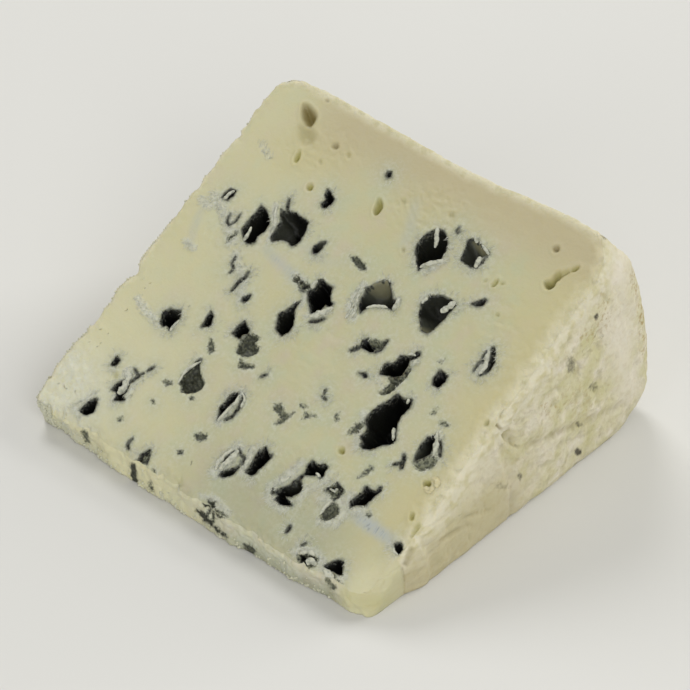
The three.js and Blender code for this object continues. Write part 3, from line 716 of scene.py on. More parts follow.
def slopeOf(field, points):
    # how fast a field on the grid changes per mm out and across, and the two steps of the grid
    steps = [np.linalg.norm(np.gradient(points, axis=axis), axis=-1) for axis in (0, 1)]
    return np.stack([change / step for change, step in zip(np.gradient(field), steps)], -1), steps


def snapToRims(points):
    # slides points that lie within half a cell of a rim onto it, down the slope of the distance
    field = mouldField(points)[0]
    slope, steps = slopeOf(field, points)
    steep = np.maximum((slope**2).sum(-1), 0.3)
    slide = -(field / steep)[..., None] * slope
    reach = 0.55 * np.minimum(*steps)
    close = (np.linalg.norm(slide, axis=-1) < reach) & (np.abs(field) < reach)
    return np.where(close[..., None], points + slide, points)


print("working out the cut face")
sides = faceOutline()
rimStray, farStray = outline["rimStray"], outline["farStray"]
rimOut, rimAcross = sides["rim"].T
rimOut += np.interp(rimAcross, rimStray["across"], rimStray["by"]) * smooth(44, 38, np.abs(rimAcross))
sides["far"][:, 1] += np.interp(sides["far"][:, 0], farStray["out"], farStray["by"])
for seed, name in enumerate(("near", "far", "rim", "nose")):
    sizes, amounts = outline["wander"][name]
    sides[name] = nibbled(strayed(sides[name], sizes, amounts, 3 + seed), outline["bites"][name], 81 + seed)
near, far, rim, nose = sides.values()
nose[:, 1] = np.maximum.accumulate(nose[:, 1])
for side, start, stop in ((rim, near[-1], far[-1]), (nose, near[0], far[0])):  # the corners meet again
    fade = np.linspace(0, 1, len(side))[:, None]
    side += (start - side[0]) * (1 - smooth(0, 0.06, fade)) + (stop - side[-1]) * smooth(0.94, 1, fade)
flat = coonsPatch(near, far, nose, rim)
flat[1:-1, 1:-1] = snapToRims(flat)[1:-1, 1:-1]

# the edge itself: outward direction and roundness at each point of the loop
loop = loopOf(flat)
along = np.roll(loop, -1, 0) - np.roll(loop, 1, 0)
outward = np.stack([along[:, 1], -along[:, 0]], 1)
for _ in range(6):
    outward = outward + 0.5 * (np.roll(outward, 1, 0) + np.roll(outward, -1, 0))
outward /= np.linalg.norm(outward, axis=1)[:, None]
loopSpots = np.column_stack([loop, np.zeros(len(loop))])
atNose = smooth(18, 16, loop[:, 0]) * smooth(44, 41, np.abs(loop[:, 1]))
shares = dict(  # how much each point of the loop belongs to each side
    nose=np.maximum(smooth(-0.75, -0.98, outward[:, 0]), atNose),
    near=smooth(-0.3, -0.9, outward[:, 1]),
    far=smooth(0.3, 0.9, outward[:, 1]),
    rim=smooth(0.75, 0.98, outward[:, 0]),
)
edgeRadius = sum(outline["fillet"][name] * share for name, share in shares.items())
edgeRadius = edgeRadius / (sum(shares.values()) + 1e-6)
front = outline["fillet"]["front"]  # comes on top of both sides of the front corner
edgeRadius = edgeRadius + front * shares["near"] * smooth(24, 16, loop[:, 0])
edgeRadius = edgeRadius + front * shares["nose"] * smooth(-32, -41, loop[:, 1])
edgeRadius = np.clip(edgeRadius * (1 + 0.35 * clouds(loopSpots, 6, 21, 2)), 0.4, 5)


def quarterTurn(radius, lean):
    # inset and drop of a rounded edge that has turned by lean: r(1 - sin lean), r(1 - cos lean)
    return radius * (1 - np.sin(lean)), radius * (1 - np.cos(lean))


def roundedEdge(points):
    # near the edge a point turns onto a quarter circle; also gives the gap to the edge, how far the
    # point has turned and the closest point of the loop
    rows, columns = np.indices(points.shape[:-1])
    lastRow, lastColumn = points.shape[0] - 1, points.shape[1] - 1
    atEdge = np.minimum(np.minimum(rows, lastRow - rows), np.minimum(columns, lastColumn - columns))
    atEdge = atEdge < grid["edgeMargin"]
    chosen = points[atEdge]
    nearest = np.concatenate([
        np.argmin(((part[:, None] - loop[None]) ** 2).sum(-1), 1) for part in np.array_split(chosen, 24)])
    gap = np.clip(((loop[nearest] - chosen) * outward[nearest]).sum(1), 0, None)
    radius = edgeRadius[nearest]
    lean = math.pi / 4 * np.clip(1 - gap / radius, 0, 1)
    inset, fallen = quarterTurn(radius, lean)
    shaped, gapToEdge = points.copy(), np.full(points.shape[:-1], 99.0)
    drop, turned = np.zeros((2, *points.shape[:-1]))
    closest = np.zeros(points.shape[:-1], int)
    shaped[atEdge] = chosen - outward[nearest] * np.where(gap < radius, inset - gap, 0)[:, None]
    drop[atEdge] = np.where(gap < radius, fallen, 0)
    gapToEdge[atEdge], turned[atEdge], closest[atEdge] = gap, lean, nearest
    return shaped, drop, gapToEdge, turned, closest


def rindRelief(spots):
    # lumps, pits and fine creases of the rind, in mm
    lumps = relief["rindLumps"] * clouds(spots, 7, 61, 3) + relief["rindGrain"] * clouds(spots, 1.8, 62, 2)
    pits = 0.5 * smooth(0.35, 0.75, clouds(spots, 3.2, 63, 2))
    crease = clouds(spots / np.array([5, 1, 1]), 2.2, 66, 2)
    return lumps - pits - 0.25 * smooth(0.1, 0.0, np.abs(crease))


def edgeRelief(spots):
    # curd lumps where the knife left the rind
    return relief["edgeLumps"] * clouds(spots, 2.8, 68, 2) + relief["edgeGrain"] * clouds(spots, 1.3, 67, 2)


def crumbleRelief(spots):
    # broken curd of the nose
    return relief["noseCrumble"] * clouds(spots, 3, 64, 4) + relief["noseGrain"] * clouds(spots, 0.9, 65, 2)


def ellipseCover(seen, entry, wobble, outer, inner, unit=1.0):
    # 1 within an ellipse round a frame pixel: its radii scaled by inner, falling to 0 at outer
    offset = (seen - np.array(entry["at"])) / (unit * np.array(entry["size"]))
    return smooth(outer, inner, np.linalg.norm(offset, axis=-1) + wobble)


shaped, drop, edgeGap, edgeTurn, closest = roundedEdge(flat)
noseHere, nearHere, farHere, rimHere = (share[closest] * (edgeGap < 50) for share in shares.values())
print("carving", len(cavities), "cavities,", len(cracks), "cracks,", len(blooms), "beds,", len(dents),
      "dents")
mouldGap, depth, mouldGreyAndLitSide = mouldField(flat)
out, across = flat[..., 0], flat[..., 1]
spots = np.dstack([flat, np.zeros(out.shape)])
outside = np.clip(mouldGap, 0, None)
depth = depth * (1 + 0.2 * clouds(spots, 1.6, 31, 2))
(haloStrong, haloReach), (bedHalo, bedReach) = halos.values()
halo = haloStrong * np.exp(-outside / haloReach)
rimCurl = relief["rimCurl"] * np.exp(-((outside - 0.25) / 0.45) ** 2) * (mouldGap > -0.05)
rimCurl = rimCurl * (0.6 + clouds(spots, 1.4, 33, 2))
bloomGap = np.full(out.shape, 9.0)
bloomDark, dentTint, dentBrown, dentRidge, needle, fringe = np.zeros((6, *out.shape))
rippleShare, goldShare = np.zeros((2, *out.shape))
bedWobble = 0.3 * clouds(spots, 1.3, 41, 2) + 0.15 * clouds(spots, 0.5, 42)
bedFloor = 1 + 0.5 * clouds(spots, 0.8, 43, 2)
for entry in blooms.values():
    gap = rimDistance(flat, entry["rim"]) + 0.7 * bedWobble
    bloomDark = np.where((gap < bloomGap) | (gap < -0.1), entry["dark"], bloomDark)
    bloomGap = np.minimum(bloomGap, gap)
    depth = np.maximum(depth, entry["deep"] * smooth(0.3, -0.9, gap) * bedFloor)
    halo = np.maximum(halo, bedHalo * np.exp(-np.clip(gap, 0, None) / bedReach))
for entry in dents.values():
    soft = entry.get("soft", 1.0)
    gap = rimDistance(flat, rounded(entry["rim"])) + 0.35 * bedWobble
    cover = entry["strong"] * smooth(0.35 * soft, -0.5 * soft, gap)
    dentBrown = np.where(cover > dentTint, entry["brown"], dentBrown)
    dentTint = np.maximum(dentTint, cover)
    depth = np.maximum(depth, 1.6 * entry["deep"] * smooth(0.25, -0.8 * soft, gap))
    ridge = relief["dentCurl"] * entry["strong"] * np.exp(-((gap - 0.45) / 0.3) ** 2)
    dentRidge = np.maximum(dentRidge, ridge)
for entry in tracks.values():
    gap, alongTrack = pathDistance(flat, entry["path"])
    faded = np.clip(4 * alongTrack * (1 - alongTrack), 0, 1) ** 0.5
    needle = np.maximum(needle, entry["strong"] * faded * smooth(0.7 * entry["wide"], 0, gap))
for entry in fringes.values():
    gap = pathDistance(flat, entry["path"])[0] + 1.2 * bedWobble
    fringe = np.maximum(fringe, entry["strong"] * smooth(0.5 * entry["wide"], 0.1 * entry["wide"], gap))


def band(name, side, place):
    # how far a place lies into one of the bands
    return smooth(*bands[name][side], place)


def cornerDistance(name, out, across):
    # distance to the middle of one of the odd corners
    return np.hypot(out - oddCorners[name]["at"][0], across - oddCorners[name]["at"][1])


# broad bands of colour over the face, the far band partly painted light; drift keeps their borders from
# running straight
drift = clouds(spots, 12, 45)
farCorner = smooth(*oddCorners["far"]["reach"], cornerDistance("far", out, across))
cornerCurd = farCorner * np.clip(0.6 + 0.4 * clouds(spots, 3.4, 55, 3), 0, 0.9)
for entry in facePatches.values():
    cover = ellipseCover(seenFrom(onFace(out, across)), entry, 0.3 * drift, 1.2, 0.3)
    rippleShare = np.maximum(rippleShare, entry.get("ripple", 0) * cover)
    goldShare = np.maximum(goldShare, entry.get("gold", 0) * cover)
frontPale = band("front", "out", out + 2 * drift) * band("front", "across", across + 2 * drift)
rimBand = band("rim", "out", out + 2 * drift) * band("rim", "across", across + 3 * drift)
nearBand = np.maximum(band("near", "across", across + 3 * drift) * (1 - frontPale), goldShare)
# paler cream towards the far side, partly painted light; the pale front corner takes it too
farLightAndCream = band("far", "across", across + 4 * drift) * (0.5 + 0.5 * band("far", "out", out))
farLightAndCream = np.maximum(farLightAndCream, 0.8 * frontPale)
noseBand = bands["nose"]["strong"] * band("nose", "out", out) * band("nose", "across", across)
noseBand = noseBand * band("nose", "back", across) * (1 - frontPale)

# height of the face: knife marks, furred and crumbled paste, lumps along its edge, less the hollows
furred = fringe * (0.15 + 0.35 * clouds(spots, 0.9, 44, 2))
crumbled = np.maximum(farCorner, smooth(-37.5, -42, across) * smooth(14, 22, out))
crumbled = crumbled * (0.3 * clouds(spots, 1.7, 49, 2) + 0.08 * clouds(spots, 0.7, 50))
cornerGrain = relief["cornerLumps"] * clouds(spots, 2.6, 58, 3) + 0.15 * clouds(spots, 0.9, 59, 2)
crumbled = crumbled + farCorner * cornerGrain
dragged = 0.5 * clouds(spots * np.array([1, 3, 1]), 6, 52)
rippled = relief["knifeDrag"] * (clouds(spots, 13, 51, 2) + dragged)
streaked = clouds(spots * np.array([1, 0.4, 1]), 1.5, 53, 2)
rippled = rippled + relief["dragMarks"] * streaked * smooth(-0.1, 0.5, clouds(spots, 15, 54))
ridges = 0.4 - np.abs(clouds(spots * np.array([1.5, 1, 1]), 1.9, 57, 2))
rippled = rippled + relief["ripple"] * rippleShare * ridges
raised = (rippled + furred + crumbled) * smooth(0, 2.5, edgeGap) + rimCurl + dentRidge
raised = raised - drop - depth * smooth(0, 0.5, edgeGap)
edgeSpots = np.stack([
    shaped[..., 0] * math.cos(cut) + drop * math.sin(cut),
    shaped[..., 1],
    shaped[..., 0] * math.sin(cut) - drop * math.cos(cut),
], -1)
nearRimCorner = cornerDistance("nearRim", out, across) / oddCorners["nearRim"]["reach"]
nearRimCorner = np.exp(-nearRimCorner**2)
frontCorner = smooth(27, 20, out) * nearHere
lumpy = nearHere * (0.4 + 0.6 * smooth(78, 52, out)) * (1 - 0.7 * frontCorner)
lumpy = lumpy * (1 - 0.7 * nearRimCorner) + 0.1 * rimHere + 0.5 * farHere
lumpy = lumpy * edgeRelief(edgeSpots) * smooth(4.6, 0.6, edgeGap)
rindHere = nearHere + 0.25 * rimHere + 0.5 * farHere
lumpy = lumpy + rindRelief(edgeSpots) * smooth(2.6, 0.2, edgeGap) * rindHere
lumpy = lumpy + crumbleRelief(edgeSpots) * smooth(3.6, 0.3, edgeGap) * noseHere
raised = raised + lumpy * np.cos(edgeTurn)
shaped = shaped + outward[closest] * (lumpy * np.sin(edgeTurn))[..., None]
top = onFace(shaped[..., 0], shaped[..., 1], raised)

# the wall: the loop swept round the wheel's axis from the cut face down to the foot
cellsOut, cellsAcross = grid["outCells"], grid["acrossCells"]
keep = np.zeros(len(loop), bool)
keep[:cellsOut] = True  # every column on the near flat rind
keep[cellsOut: 2 * cellsOut + cellsAcross: 2] = True  # every second one round the side and the far rind
keep[2 * cellsOut + cellsAcross:] = True  # every column at the nose
columns = np.flatnonzero(keep)
noseColumn, nearColumn, farColumn, rimColumn = (share[None, columns] for share in shares.values())
fall = np.linspace(0, 1, grid["wallRows"] + 1)[1:, None] ** grid["rowCrowding"]

base, facing, radius = loop[columns], outward[columns], edgeRadius[None, columns]
baseOut, baseAcross = base.T[:, None]
evened = loop.copy()  # the bites fade out down the wall
for _ in range(25):
    evened = 0.5 * evened + 0.25 * (np.roll(evened, 1, 0) + np.roll(evened, -1, 0))
below = fall * baseOut * cut  # arc length below the cut face
lean = math.pi / 4 * np.clip(1 + below / radius, 1, 2)
inset, sunk = quarterTurn(radius, lean)
above = np.clip(baseOut * cut - np.where(below < radius, sunk, below), 0, None)
cornerShare = smooth(0, 1, np.clip(facing[:, 0] * -facing[:, 1] * 2.2, 0, 1))
footRadius = outline["foot"]["plain"] + outline["foot"]["nearRim"] * cornerShare * (baseOut > 60)
footInset, footRise = quarterTurn(footRadius, math.pi / 2 * np.clip(above / footRadius, 0, 1))
inset = inset + np.where(above < footRadius, footInset, 0)
above = np.where(above < footRadius, footRise, above)
angle = above / baseOut

evenShare = smooth(0.3, 3.0, below)[..., None]
place = base[None] * (1 - evenShare) + evened[columns][None] * evenShare - facing[None] * inset[..., None]
wallSpots = np.stack([place[..., 0] * np.cos(angle), place[..., 1], place[..., 0] * np.sin(angle)], -1)
closeBelow = np.exp(-below / 4)
lumps = rindRelief(wallSpots) * (1 - 0.6 * rimColumn * closeBelow)
lumps = lumps + edgeRelief(wallSpots) * closeBelow * (1 - 0.8 * rimColumn)
torn = clouds(wallSpots * np.array([1, 1, 0.45]), 1.1, 94, 3)  # streaks down the broken tip
crumble = 0.8 * crumbleRelief(wallSpots) + 0.2 * torn
cornerTurn = np.degrees(np.arctan2(-facing[:, 1], facing[:, 0]))
swelling = outline["cornerSwell"] * np.exp(-(((cornerTurn - 42) / 30) ** 2)) * smooth(-0.06, 0.2, fall)
swelling = swelling * (1 - 0.75 * smooth(0.86, 1, fall))
pasteNear = (baseAcross < nearAcross) & (baseOut < creaseOut)
bulge = (lumps + swelling * smooth(0, 1.2, below)) * (1 - noseColumn) + crumble * noseColumn
bulge = (bulge + 0.5 * crumble * pasteNear) * smooth(0, 0.8, above + 0.3)
noseFoot = outline["noseFoot"]
footStep = np.interp(baseAcross, noseFoot["across"], noseFoot["by"]) * noseColumn
footStep = footStep + relief["seamStep"] * nearColumn * smooth(26, 34, baseOut)
place = place + facing[None] * (bulge * np.sin(lean) + footStep * smooth(0.25, 0.9, fall))[..., None]
angle = np.clip(angle + bulge * np.cos(lean) / baseOut, 0, None)
wall = np.stack([
    axisX + place[..., 0] * np.cos(angle),
    place[..., 1],
    place[..., 0] * np.sin(angle),
], -1)
wall[-1, :, 2] = 0.0


def press(points):
    # what stands in front of a pressed plane is pushed back to it, softly, by
    # soft / 3 * log(1 + exp(3 * proud / soft)), where proud is how far it stands out
    moved = points
    for plane in pressed.values():
        normal = np.array(plane["facing"]) / np.linalg.norm(plane["facing"])
        proud = (moved - np.array(plane["at"])) @ normal
        push = np.logaddexp(0, proud / plane["soft"] * 3) * plane["soft"] / 3
        push = push * smooth(plane["upTo"], plane["upTo"] - plane["fade"], moved[..., 0])
        moved = moved - (push * (1 + 0.16 * clouds(moved, 5.0, 93, 3)))[..., None] * normal
    moved[..., 2] = np.maximum(moved[..., 2], 0)
    return moved


top, wall = press(top), press(wall)


def wedgeFaces():
    # over the cut face each cell is split along the diagonal that changes depth least, which keeps rims
    # clean; the first wall row takes in the points between columns
    topIndex = np.arange(top[..., 0].size).reshape(top.shape[:2])
    a, b, c, d = topIndex[:-1, :-1], topIndex[1:, :-1], topIndex[1:, 1:], topIndex[:-1, 1:]
    level = depth.ravel()
    straight = (np.abs(level[a] - level[c]) <= np.abs(level[b] - level[d]))[..., None]
    first = np.where(straight, np.stack([a, b, c], -1), np.stack([a, b, d], -1))
    second = np.where(straight, np.stack([a, c, d], -1), np.stack([b, c, d], -1))
    faces = np.concatenate([first.reshape(-1, 3), second.reshape(-1, 3)]).tolist()
    loopIndex = loopOf(topIndex)
    wallIndex = topIndex.size + np.arange(wall[..., 0].size).reshape(wall.shape[:2])
    beside = np.roll(wallIndex, -1, 1)
    stitched = []
    for k, start in enumerate(columns):
        stop = columns[(k + 1) % len(columns)] or len(loop)
        edge = [int(loopIndex[m % len(loop)]) for m in range(start, stop + 1)]
        stitched.append(edge[::-1] + [int(wallIndex[0, k]), int(beside[0, k])])
    quads = np.stack([wallIndex[:-1], wallIndex[1:], beside[1:], beside[:-1]], -1)
    foot = [int(n) for n in wallIndex[-1][::-1]]
    return faces, stitched, quads.reshape(-1, 4).tolist(), foot


def makeMesh(name, points, faces, fields=None):
    # a mesh in metres from points in mm, with one value per point for each named field
    mesh = bpy.data.meshes.new(name)
    mesh.from_pydata((points * mm).tolist(), [], faces)
    for fieldName, values in (fields or {}).items():
        layer = mesh.attributes.new(fieldName, "FLOAT", "POINT")
        layer.data.foreach_set("value", np.ascontiguousarray(values, np.float32))
    mesh.update()
    piece = bpy.data.objects.new(name, mesh)
    bpy.context.scene.collection.objects.link(piece)
    return piece


topFaces, seamFaces, wallFaces, footFace = wedgeFaces()
seen = seenFrom(wall)
pixelsPerMm = 4.9  # on the sides that the camera sees

noseMarks = dict(  # mould smears on the broken tip, as paths in frame pixels
    knot=dict(path=[(206, 503), (211, 502), (214, 506)], wide=1.5, dark=0.95),
    fan=dict(path=[(198, 511), (205, 517), (212, 525)], wide=0.75, dark=0.9),
    fanMiddle=dict(path=[(212, 507), (208, 514), (205, 520)], wide=0.6, dark=0.8),
    fanLow=dict(path=[(211, 524), (219, 531), (226, 537)], wide=0.5, dark=0.75),
    fanRight=dict(path=[(215, 511), (219, 517), (226, 516)], wide=0.55, dark=0.65),
    fanCross=dict(path=[(213, 509), (214, 517), (212, 524)], wide=0.45, dark=0.7),
    comb=dict(path=[(133, 466), (134, 474), (135, 480)], wide=1.0, dark=0.8),
    plum=dict(path=[(245, 546), (253, 551)], wide=1.1, dark=0.6),
    left=dict(path=[(84, 432), (88, 441)], wide=0.8, dark=0.3),
    rust=dict(path=[(150, 484), (152, 490)], wide=0.8, dark=0.4),
    tip=dict(path=[(327, 580), (334, 588)], wide=0.7, dark=0.3),
)
noseGap, noseDark = np.full(above.shape, 2.0), np.zeros(above.shape)
noseWobble = 0.3 * clouds(wallSpots, 1.1, 71, 2)
for entry in noseMarks.values():
    gap = pathDistance(seen, entry["path"], onPlane=False)[0] / pixelsPerMm
    gap = gap + noseWobble - 0.5 * entry["wide"] + 4 * (1 - noseColumn)
    darker = np.maximum(noseDark * (noseGap < 0), entry["dark"])
    noseDark = np.where(gap < np.minimum(noseGap, 0.1), darker, noseDark)
    noseGap = np.minimum(noseGap, gap)

rindMarks = dict(  # smudges of the near flat rind: at in frame pixels, size in mm
    tick=dict(at=(596.5, 316), size=(0.6, 1.0), strong=0.8),
    smear=dict(at=(600, 336), size=(1.6, 0.8), strong=0.45),
    bruise=dict(at=(571, 365), size=(1.2, 2.2), strong=0.6),
    comma=dict(at=(594, 387), size=(1.4, 1.2), strong=0.6),
    ringed=dict(at=(580, 425), size=(1.0, 0.9), strong=0.6),
    inkDot=dict(at=(578, 452), size=(0.9, 0.9), strong=1.0),
    grey=dict(at=(520, 476), size=(0.8, 1.2), strong=0.7),
    greyLow=dict(at=(502, 486), size=(2.6, 1.0), strong=0.35),
    faint=dict(at=(459, 515), size=(0.8, 0.8), strong=0.4),
    upperFaint=dict(at=(585, 352), size=(2.0, 1.6), strong=0.25),
)
# dark: painted shade along each crease and under the chip's edge; for goldSmear it is a real gold smear
rindLines = dict(  # creases and the chipped fold of the near flat rind
    longCrease=dict(path=[(520, 449), (548, 438), (575, 425), (600, 414), (634, 399)], wide=1.4, deep=0.5,
        dark=0.4),
    underCrease=dict(path=[(552, 448), (575, 438), (600, 426)], wide=1.0, deep=0.4, dark=0.25),
    upperCrease=dict(path=[(566, 352), (580, 366), (574, 380)], wide=0.9, deep=0.25, dark=0.2),
    lowCrease=dict(path=[(425, 550), (450, 535), (473, 522)], wide=0.9, deep=0.3, dark=0.3),
    goldSmear=dict(path=[(413, 546), (409, 556), (405, 567)], wide=1.9, deep=0.25, dark=0.55),
    shortCrease=dict(path=[(459, 519), (477, 513), (494, 509)], wide=0.8, deep=0.25, dark=0.25),
    cornerFold=dict(path=[(402, 566), (403.5, 574), (404, 584), (404, 596)], wide=0.8, deep=0.25,
        dark=0.4),
    chipTop=dict(path=[(495, 424), (499, 427), (504, 431)], wide=0.9, deep=0.8, dark=0.9),
    chip=dict(path=[(505, 431), (509, 437), (516, 444)], wide=2.6, deep=1.5, dark=0.35),
    chipFoot=dict(path=[(506, 441), (512, 445), (520, 447)], wide=0.8, deep=0.5, dark=0.6),
)
# painted shade of the creases and the chip, and the gold smear
rindSmearAndCreaseShade, dip = np.zeros((2, *above.shape))
lineWobble = 0.25 * clouds(wallSpots, 1.2, 76, 2)
lineStrength = np.clip(0.75 + 0.9 * clouds(wallSpots, 2.6, 78, 2), 0.15, 1)
for entry in rindLines.values():
    gap, alongLine = pathDistance(seen, entry["path"], onPlane=False)
    gap = gap / pixelsPerMm + lineWobble
    cover = smooth(0.6 * entry["wide"], 0.1 * entry["wide"], gap) * nearColumn
    cover = cover * smooth(0, 0.12, alongLine) * smooth(1, 0.88, alongLine) * lineStrength
    rindSmearAndCreaseShade = np.maximum(rindSmearAndCreaseShade, entry["dark"] * cover)
    dip = np.maximum(dip, entry["deep"] * cover)
wall[..., 1] += dip
rindSpot = 0.75 * (smooth(0.58, 0.8, clouds(wallSpots, 3.0, 77, 2)) * (1 - 0.8 * nearColumn))
spotWobble = 0.35 * clouds(wallSpots, 1.2, 72, 2)
for entry in rindMarks.values():
    cover = ellipseCover(seen, entry, spotWobble, 1.2, 0.3, pixelsPerMm) * nearColumn
    rindSpot = np.maximum(rindSpot, entry["strong"] * cover)

rindPatches = dict(  # warm stains and salt-white areas of the near flat rind, in frame pixels
    upperTan=dict(at=(602, 310), size=(12, 28), tan=0.8),
    middleTan=dict(at=(588, 335), size=(14, 16), tan=0.6),
    goldTan=dict(at=(548, 408), size=(12, 10), tan=0.9),
    lowerTan=dict(at=(575, 400), size=(40, 26), tan=0.35),
    edgeStain=dict(at=(648, 322), size=(12, 50), tan=1.6),
    cornerStain=dict(at=(635, 280), size=(6, 16), tan=1.2),
    cornerBone=dict(at=(618, 272), size=(17, 30), bone=1.0),
    sideBone=dict(at=(624, 345), size=(19, 62), bone=0.8),
    middleBone=dict(at=(606, 325), size=(12, 26), bone=0.5),
    lowBone=dict(at=(478, 470), size=(30, 22), bone=0.5),
    cornerOlive=dict(at=(370, 601), size=(26, 12), olive=0.24),
    cornerOliveLeft=dict(at=(350, 594), size=(10, 10), olive=0.2),
)
facingOut, facingAcross = facing.T[:, None]
wallOut = np.stack([facingOut * np.cos(angle), facingAcross + 0 * angle, facingOut * np.sin(angle)], -1)
towards = smooth(-0.12, 0.12, wallOut @ backward)  # the part that the view sees
patchWobble = 0.3 * clouds(wallSpots, 4, 73, 2)
rindTan = np.full(above.shape, 0.15)
rindBone, rindOlive = np.zeros((2, *above.shape))
for entry in rindPatches.values():
    cover = ellipseCover(seen, entry, patchWobble, 1.3, 0.2) * towards
    rindTan = np.maximum(rindTan, np.minimum(entry.get("tan", 0) * cover, 1))
    rindBone = np.maximum(rindBone, entry.get("bone", 0) * cover)
    rindOlive = np.maximum(rindOlive, entry.get("olive", 0) * cover)
wallX, wallY, wallZ = wall[..., 0], wall[..., 1], wall[..., 2]
rindLow = 0.85 * smooth(26, 5, wallZ + 3 * clouds(wallSpots, 6, 75, 2)) * smooth(12, -6, wallX)

# the cut edge, on both sides of it: how far its pale curd reaches in, and how strong it is
edgeDrift = clouds(edgeSpots, 4, 48, 3)
edgeReach = 0.4 + nearHere * (1.6 + 1.3 * edgeDrift) + rimHere * (0.9 + 0.3 * edgeDrift)
edgeReach = edgeReach + farHere * (0.3 + 0.5 * edgeDrift) + noseHere * (0.3 + 0.6 * edgeDrift)
edgeReach = np.clip(edgeReach, 0.3, 6)
edgeShare = 0.85 * nearHere + rimHere + 0.8 * farHere + 0.12 * noseHere
edgeOnTop = np.clip(smooth(2.3, 0.0, edgeGap / edgeReach) * edgeShare, 0, 1)
edgeOnTop = edgeOnTop * (1 - 0.5 * nearRimCorner) * (1 - 0.8 * frontPale)
edgeWidth = 0.8 + 4.2 * nearColumn * (1 + 1.1 * clouds(wallSpots, 5, 74, 2)) + 0.6 * noseColumn
edgeOnWall = smooth(1.8, 0.0, below / np.maximum(edgeWidth, 0.6)) * (0.95 - 0.8 * noseColumn)
frontWall = np.maximum(pasteNear, noseColumn * smooth(-33, -40, wallY))
edgeOnWall = edgeOnWall * (1 - 0.8 * frontWall)

# the broken tip: furred at the far corner and under the edge, cream to the far side, grey to the near
wallFringe = smooth(*oddCorners["farBelow"]["reach"], cornerDistance("farBelow", wallX - axisX, wallY))
wallFringe = wallFringe * np.clip(0.4 + 0.8 * clouds(wallSpots, 2.2, 56, 3), 0, 0.9)
noseFringe = 0.5 * noseColumn * smooth(16, -8, wallY) * smooth(8, 2, below) * (1 - frontWall)
wallFringe = np.maximum(wallFringe, noseFringe * (1 + 0.5 * torn))
wallCream = np.maximum(noseColumn * smooth(-14, 20, wallY), 0.5 * frontWall)
wallGrey = noseColumn * smooth(4, -16, wallY) * (1 - frontWall) * smooth(0.6, 5.5, below)
wallGrey = wallGrey * (0.75 + 0.2 * clouds(wallSpots, 6.0, 95, 2) + 0.25 * torn)
wallGrey = np.maximum(wallGrey, 0.35 * noseColumn * smooth(20, 32, wallY) * smooth(2, 6, below))

bothParts = dict(  # what each mask holds over the cut face and down the wall
    mouldGap=(np.clip(mouldGap, -2, 2), 2),
    mouldGreyAndLitSide=(mouldGreyAndLitSide, 0),
    halo=(halo, 0),
    bloomGap=(np.clip(bloomGap, -2, 2), noseGap),
    bloomDark=(bloomDark, noseDark),
    dent=(dentTint, rindOlive),
    dentBrown=(dentBrown, 0),
    needle=(needle, 0),
    fringe=(np.maximum(fringe, cornerCurd), wallFringe),
    rimBand=(rimBand, 0),
    nearBand=(nearBand, 0.15 * nearColumn),
    farLightAndCream=(farLightAndCream, wallCream),
    noseBand=(noseBand, wallGrey),
    edge=(edgeOnTop, edgeOnWall),
    rindSpot=(0, rindSpot),
    rindTan=(0, rindTan),
    rindLow=(0, rindLow),
    rindPlain=(0, 0.45 * (1 - nearColumn)),
    rindBone=(0, rindBone),
    rindSmearAndCreaseShade=(0, rindSmearAndCreaseShade),
)
masks = {}
for name, (face, down) in bothParts.items():
    masks[name] = np.append(np.broadcast_to(face, out.shape), np.broadcast_to(down, above.shape))
points = np.vstack([top.reshape(-1, 3), wall.reshape(-1, 3)])
wedge = makeMesh("wedge_of_cheese", points, topFaces + seamFaces + wallFaces + [footFace], masks)
pasteColumns = (noseColumn[0] >= 0.5) | pasteNear[0] | (base[:, 0] < tipOut)
isRind = np.zeros(len(wedge.data.polygons), np.int32)
isRind[len(topFaces):-1] = np.tile(~pasteColumns, grid["wallRows"])
wedge.data.polygons.foreach_set("material_index", isRind)
wedge.data.shade_smooth()
print("wedge mesh has", len(points), "points")


def linear(colour):
    # sRGB hex to linear
    parts = [int(colour[i:i + 2], 16) / 255 for i in (1, 3, 5)]
    return tuple(p / 12.92 if p <= 0.04045 else ((p + 0.055) / 1.055) ** 2.4 for p in parts) + (1.0,)


def addNode(tree, kind, inputs=None, out=0, **settings):
    # one node with its settings; an input that is a socket is linked, any other is set; gives an output
    node = tree.nodes.new("ShaderNode" + kind)
    for name, value in settings.items():
        setattr(node, name, value)
    for name, value in (inputs or {}).items():
        if isinstance(value, bpy.types.NodeSocket):
            tree.links.new(value, node.inputs[name])
        else:
            node.inputs[name].default_value = value
    return node.outputs[out] if node.outputs else None


def grainScale(size):
    # noise scale per metre for a feature of that many millimetres
    return 1.0 / (size * mm)


def newMaterial(name, look):
    # an empty material with the outputs that its look lists: masks, noise, and shares taken from noise
    material = bpy.data.materials.new(name)
    material.use_nodes = True
    material.node_tree.nodes.clear()
    add = partial(addNode, material.node_tree)
    place = add("TexCoord", out="Object")
    mask = {key: add("Attribute", out="Fac", attribute_name=key) for key in look["masks"]}
    grain, share = {}, {}
    for key, (size, octaves, roughness) in look["grains"].items():
        grain[key] = add("TexNoise", {
            "Vector": place, "Scale": grainScale(size), "Detail": octaves, "Roughness": roughness})
    for key, (source, low, high, most) in look["shares"].items():
        share[key] = add("MapRange", {0: grain[source], 1: low, 2: high, 4: most})
    ink = {key: linear(colour) for key, colour in look["colours"].items()}
    return SimpleNamespace(
        material=material, add=add, place=place, mask=mask, grain=grain, share=share, ink=ink)


def finished(paint, shader, colour, bump):
    # closes a material: its shader with these constants on its sockets, and the output
    surface = paint.add("BsdfPrincipled", {**shader, "Base Color": colour, "Normal": bump})
    paint.add("OutputMaterial", {"Surface": surface})
    return paint.material


def layered(paint, colour, layers):
    # lays each colour of (share, colour) pairs over what is below it
    for share, over in layers:
        colour = paint.add("Mix", {0: share, 6: colour, 7: over}, out=2, data_type="RGBA")
    return colour


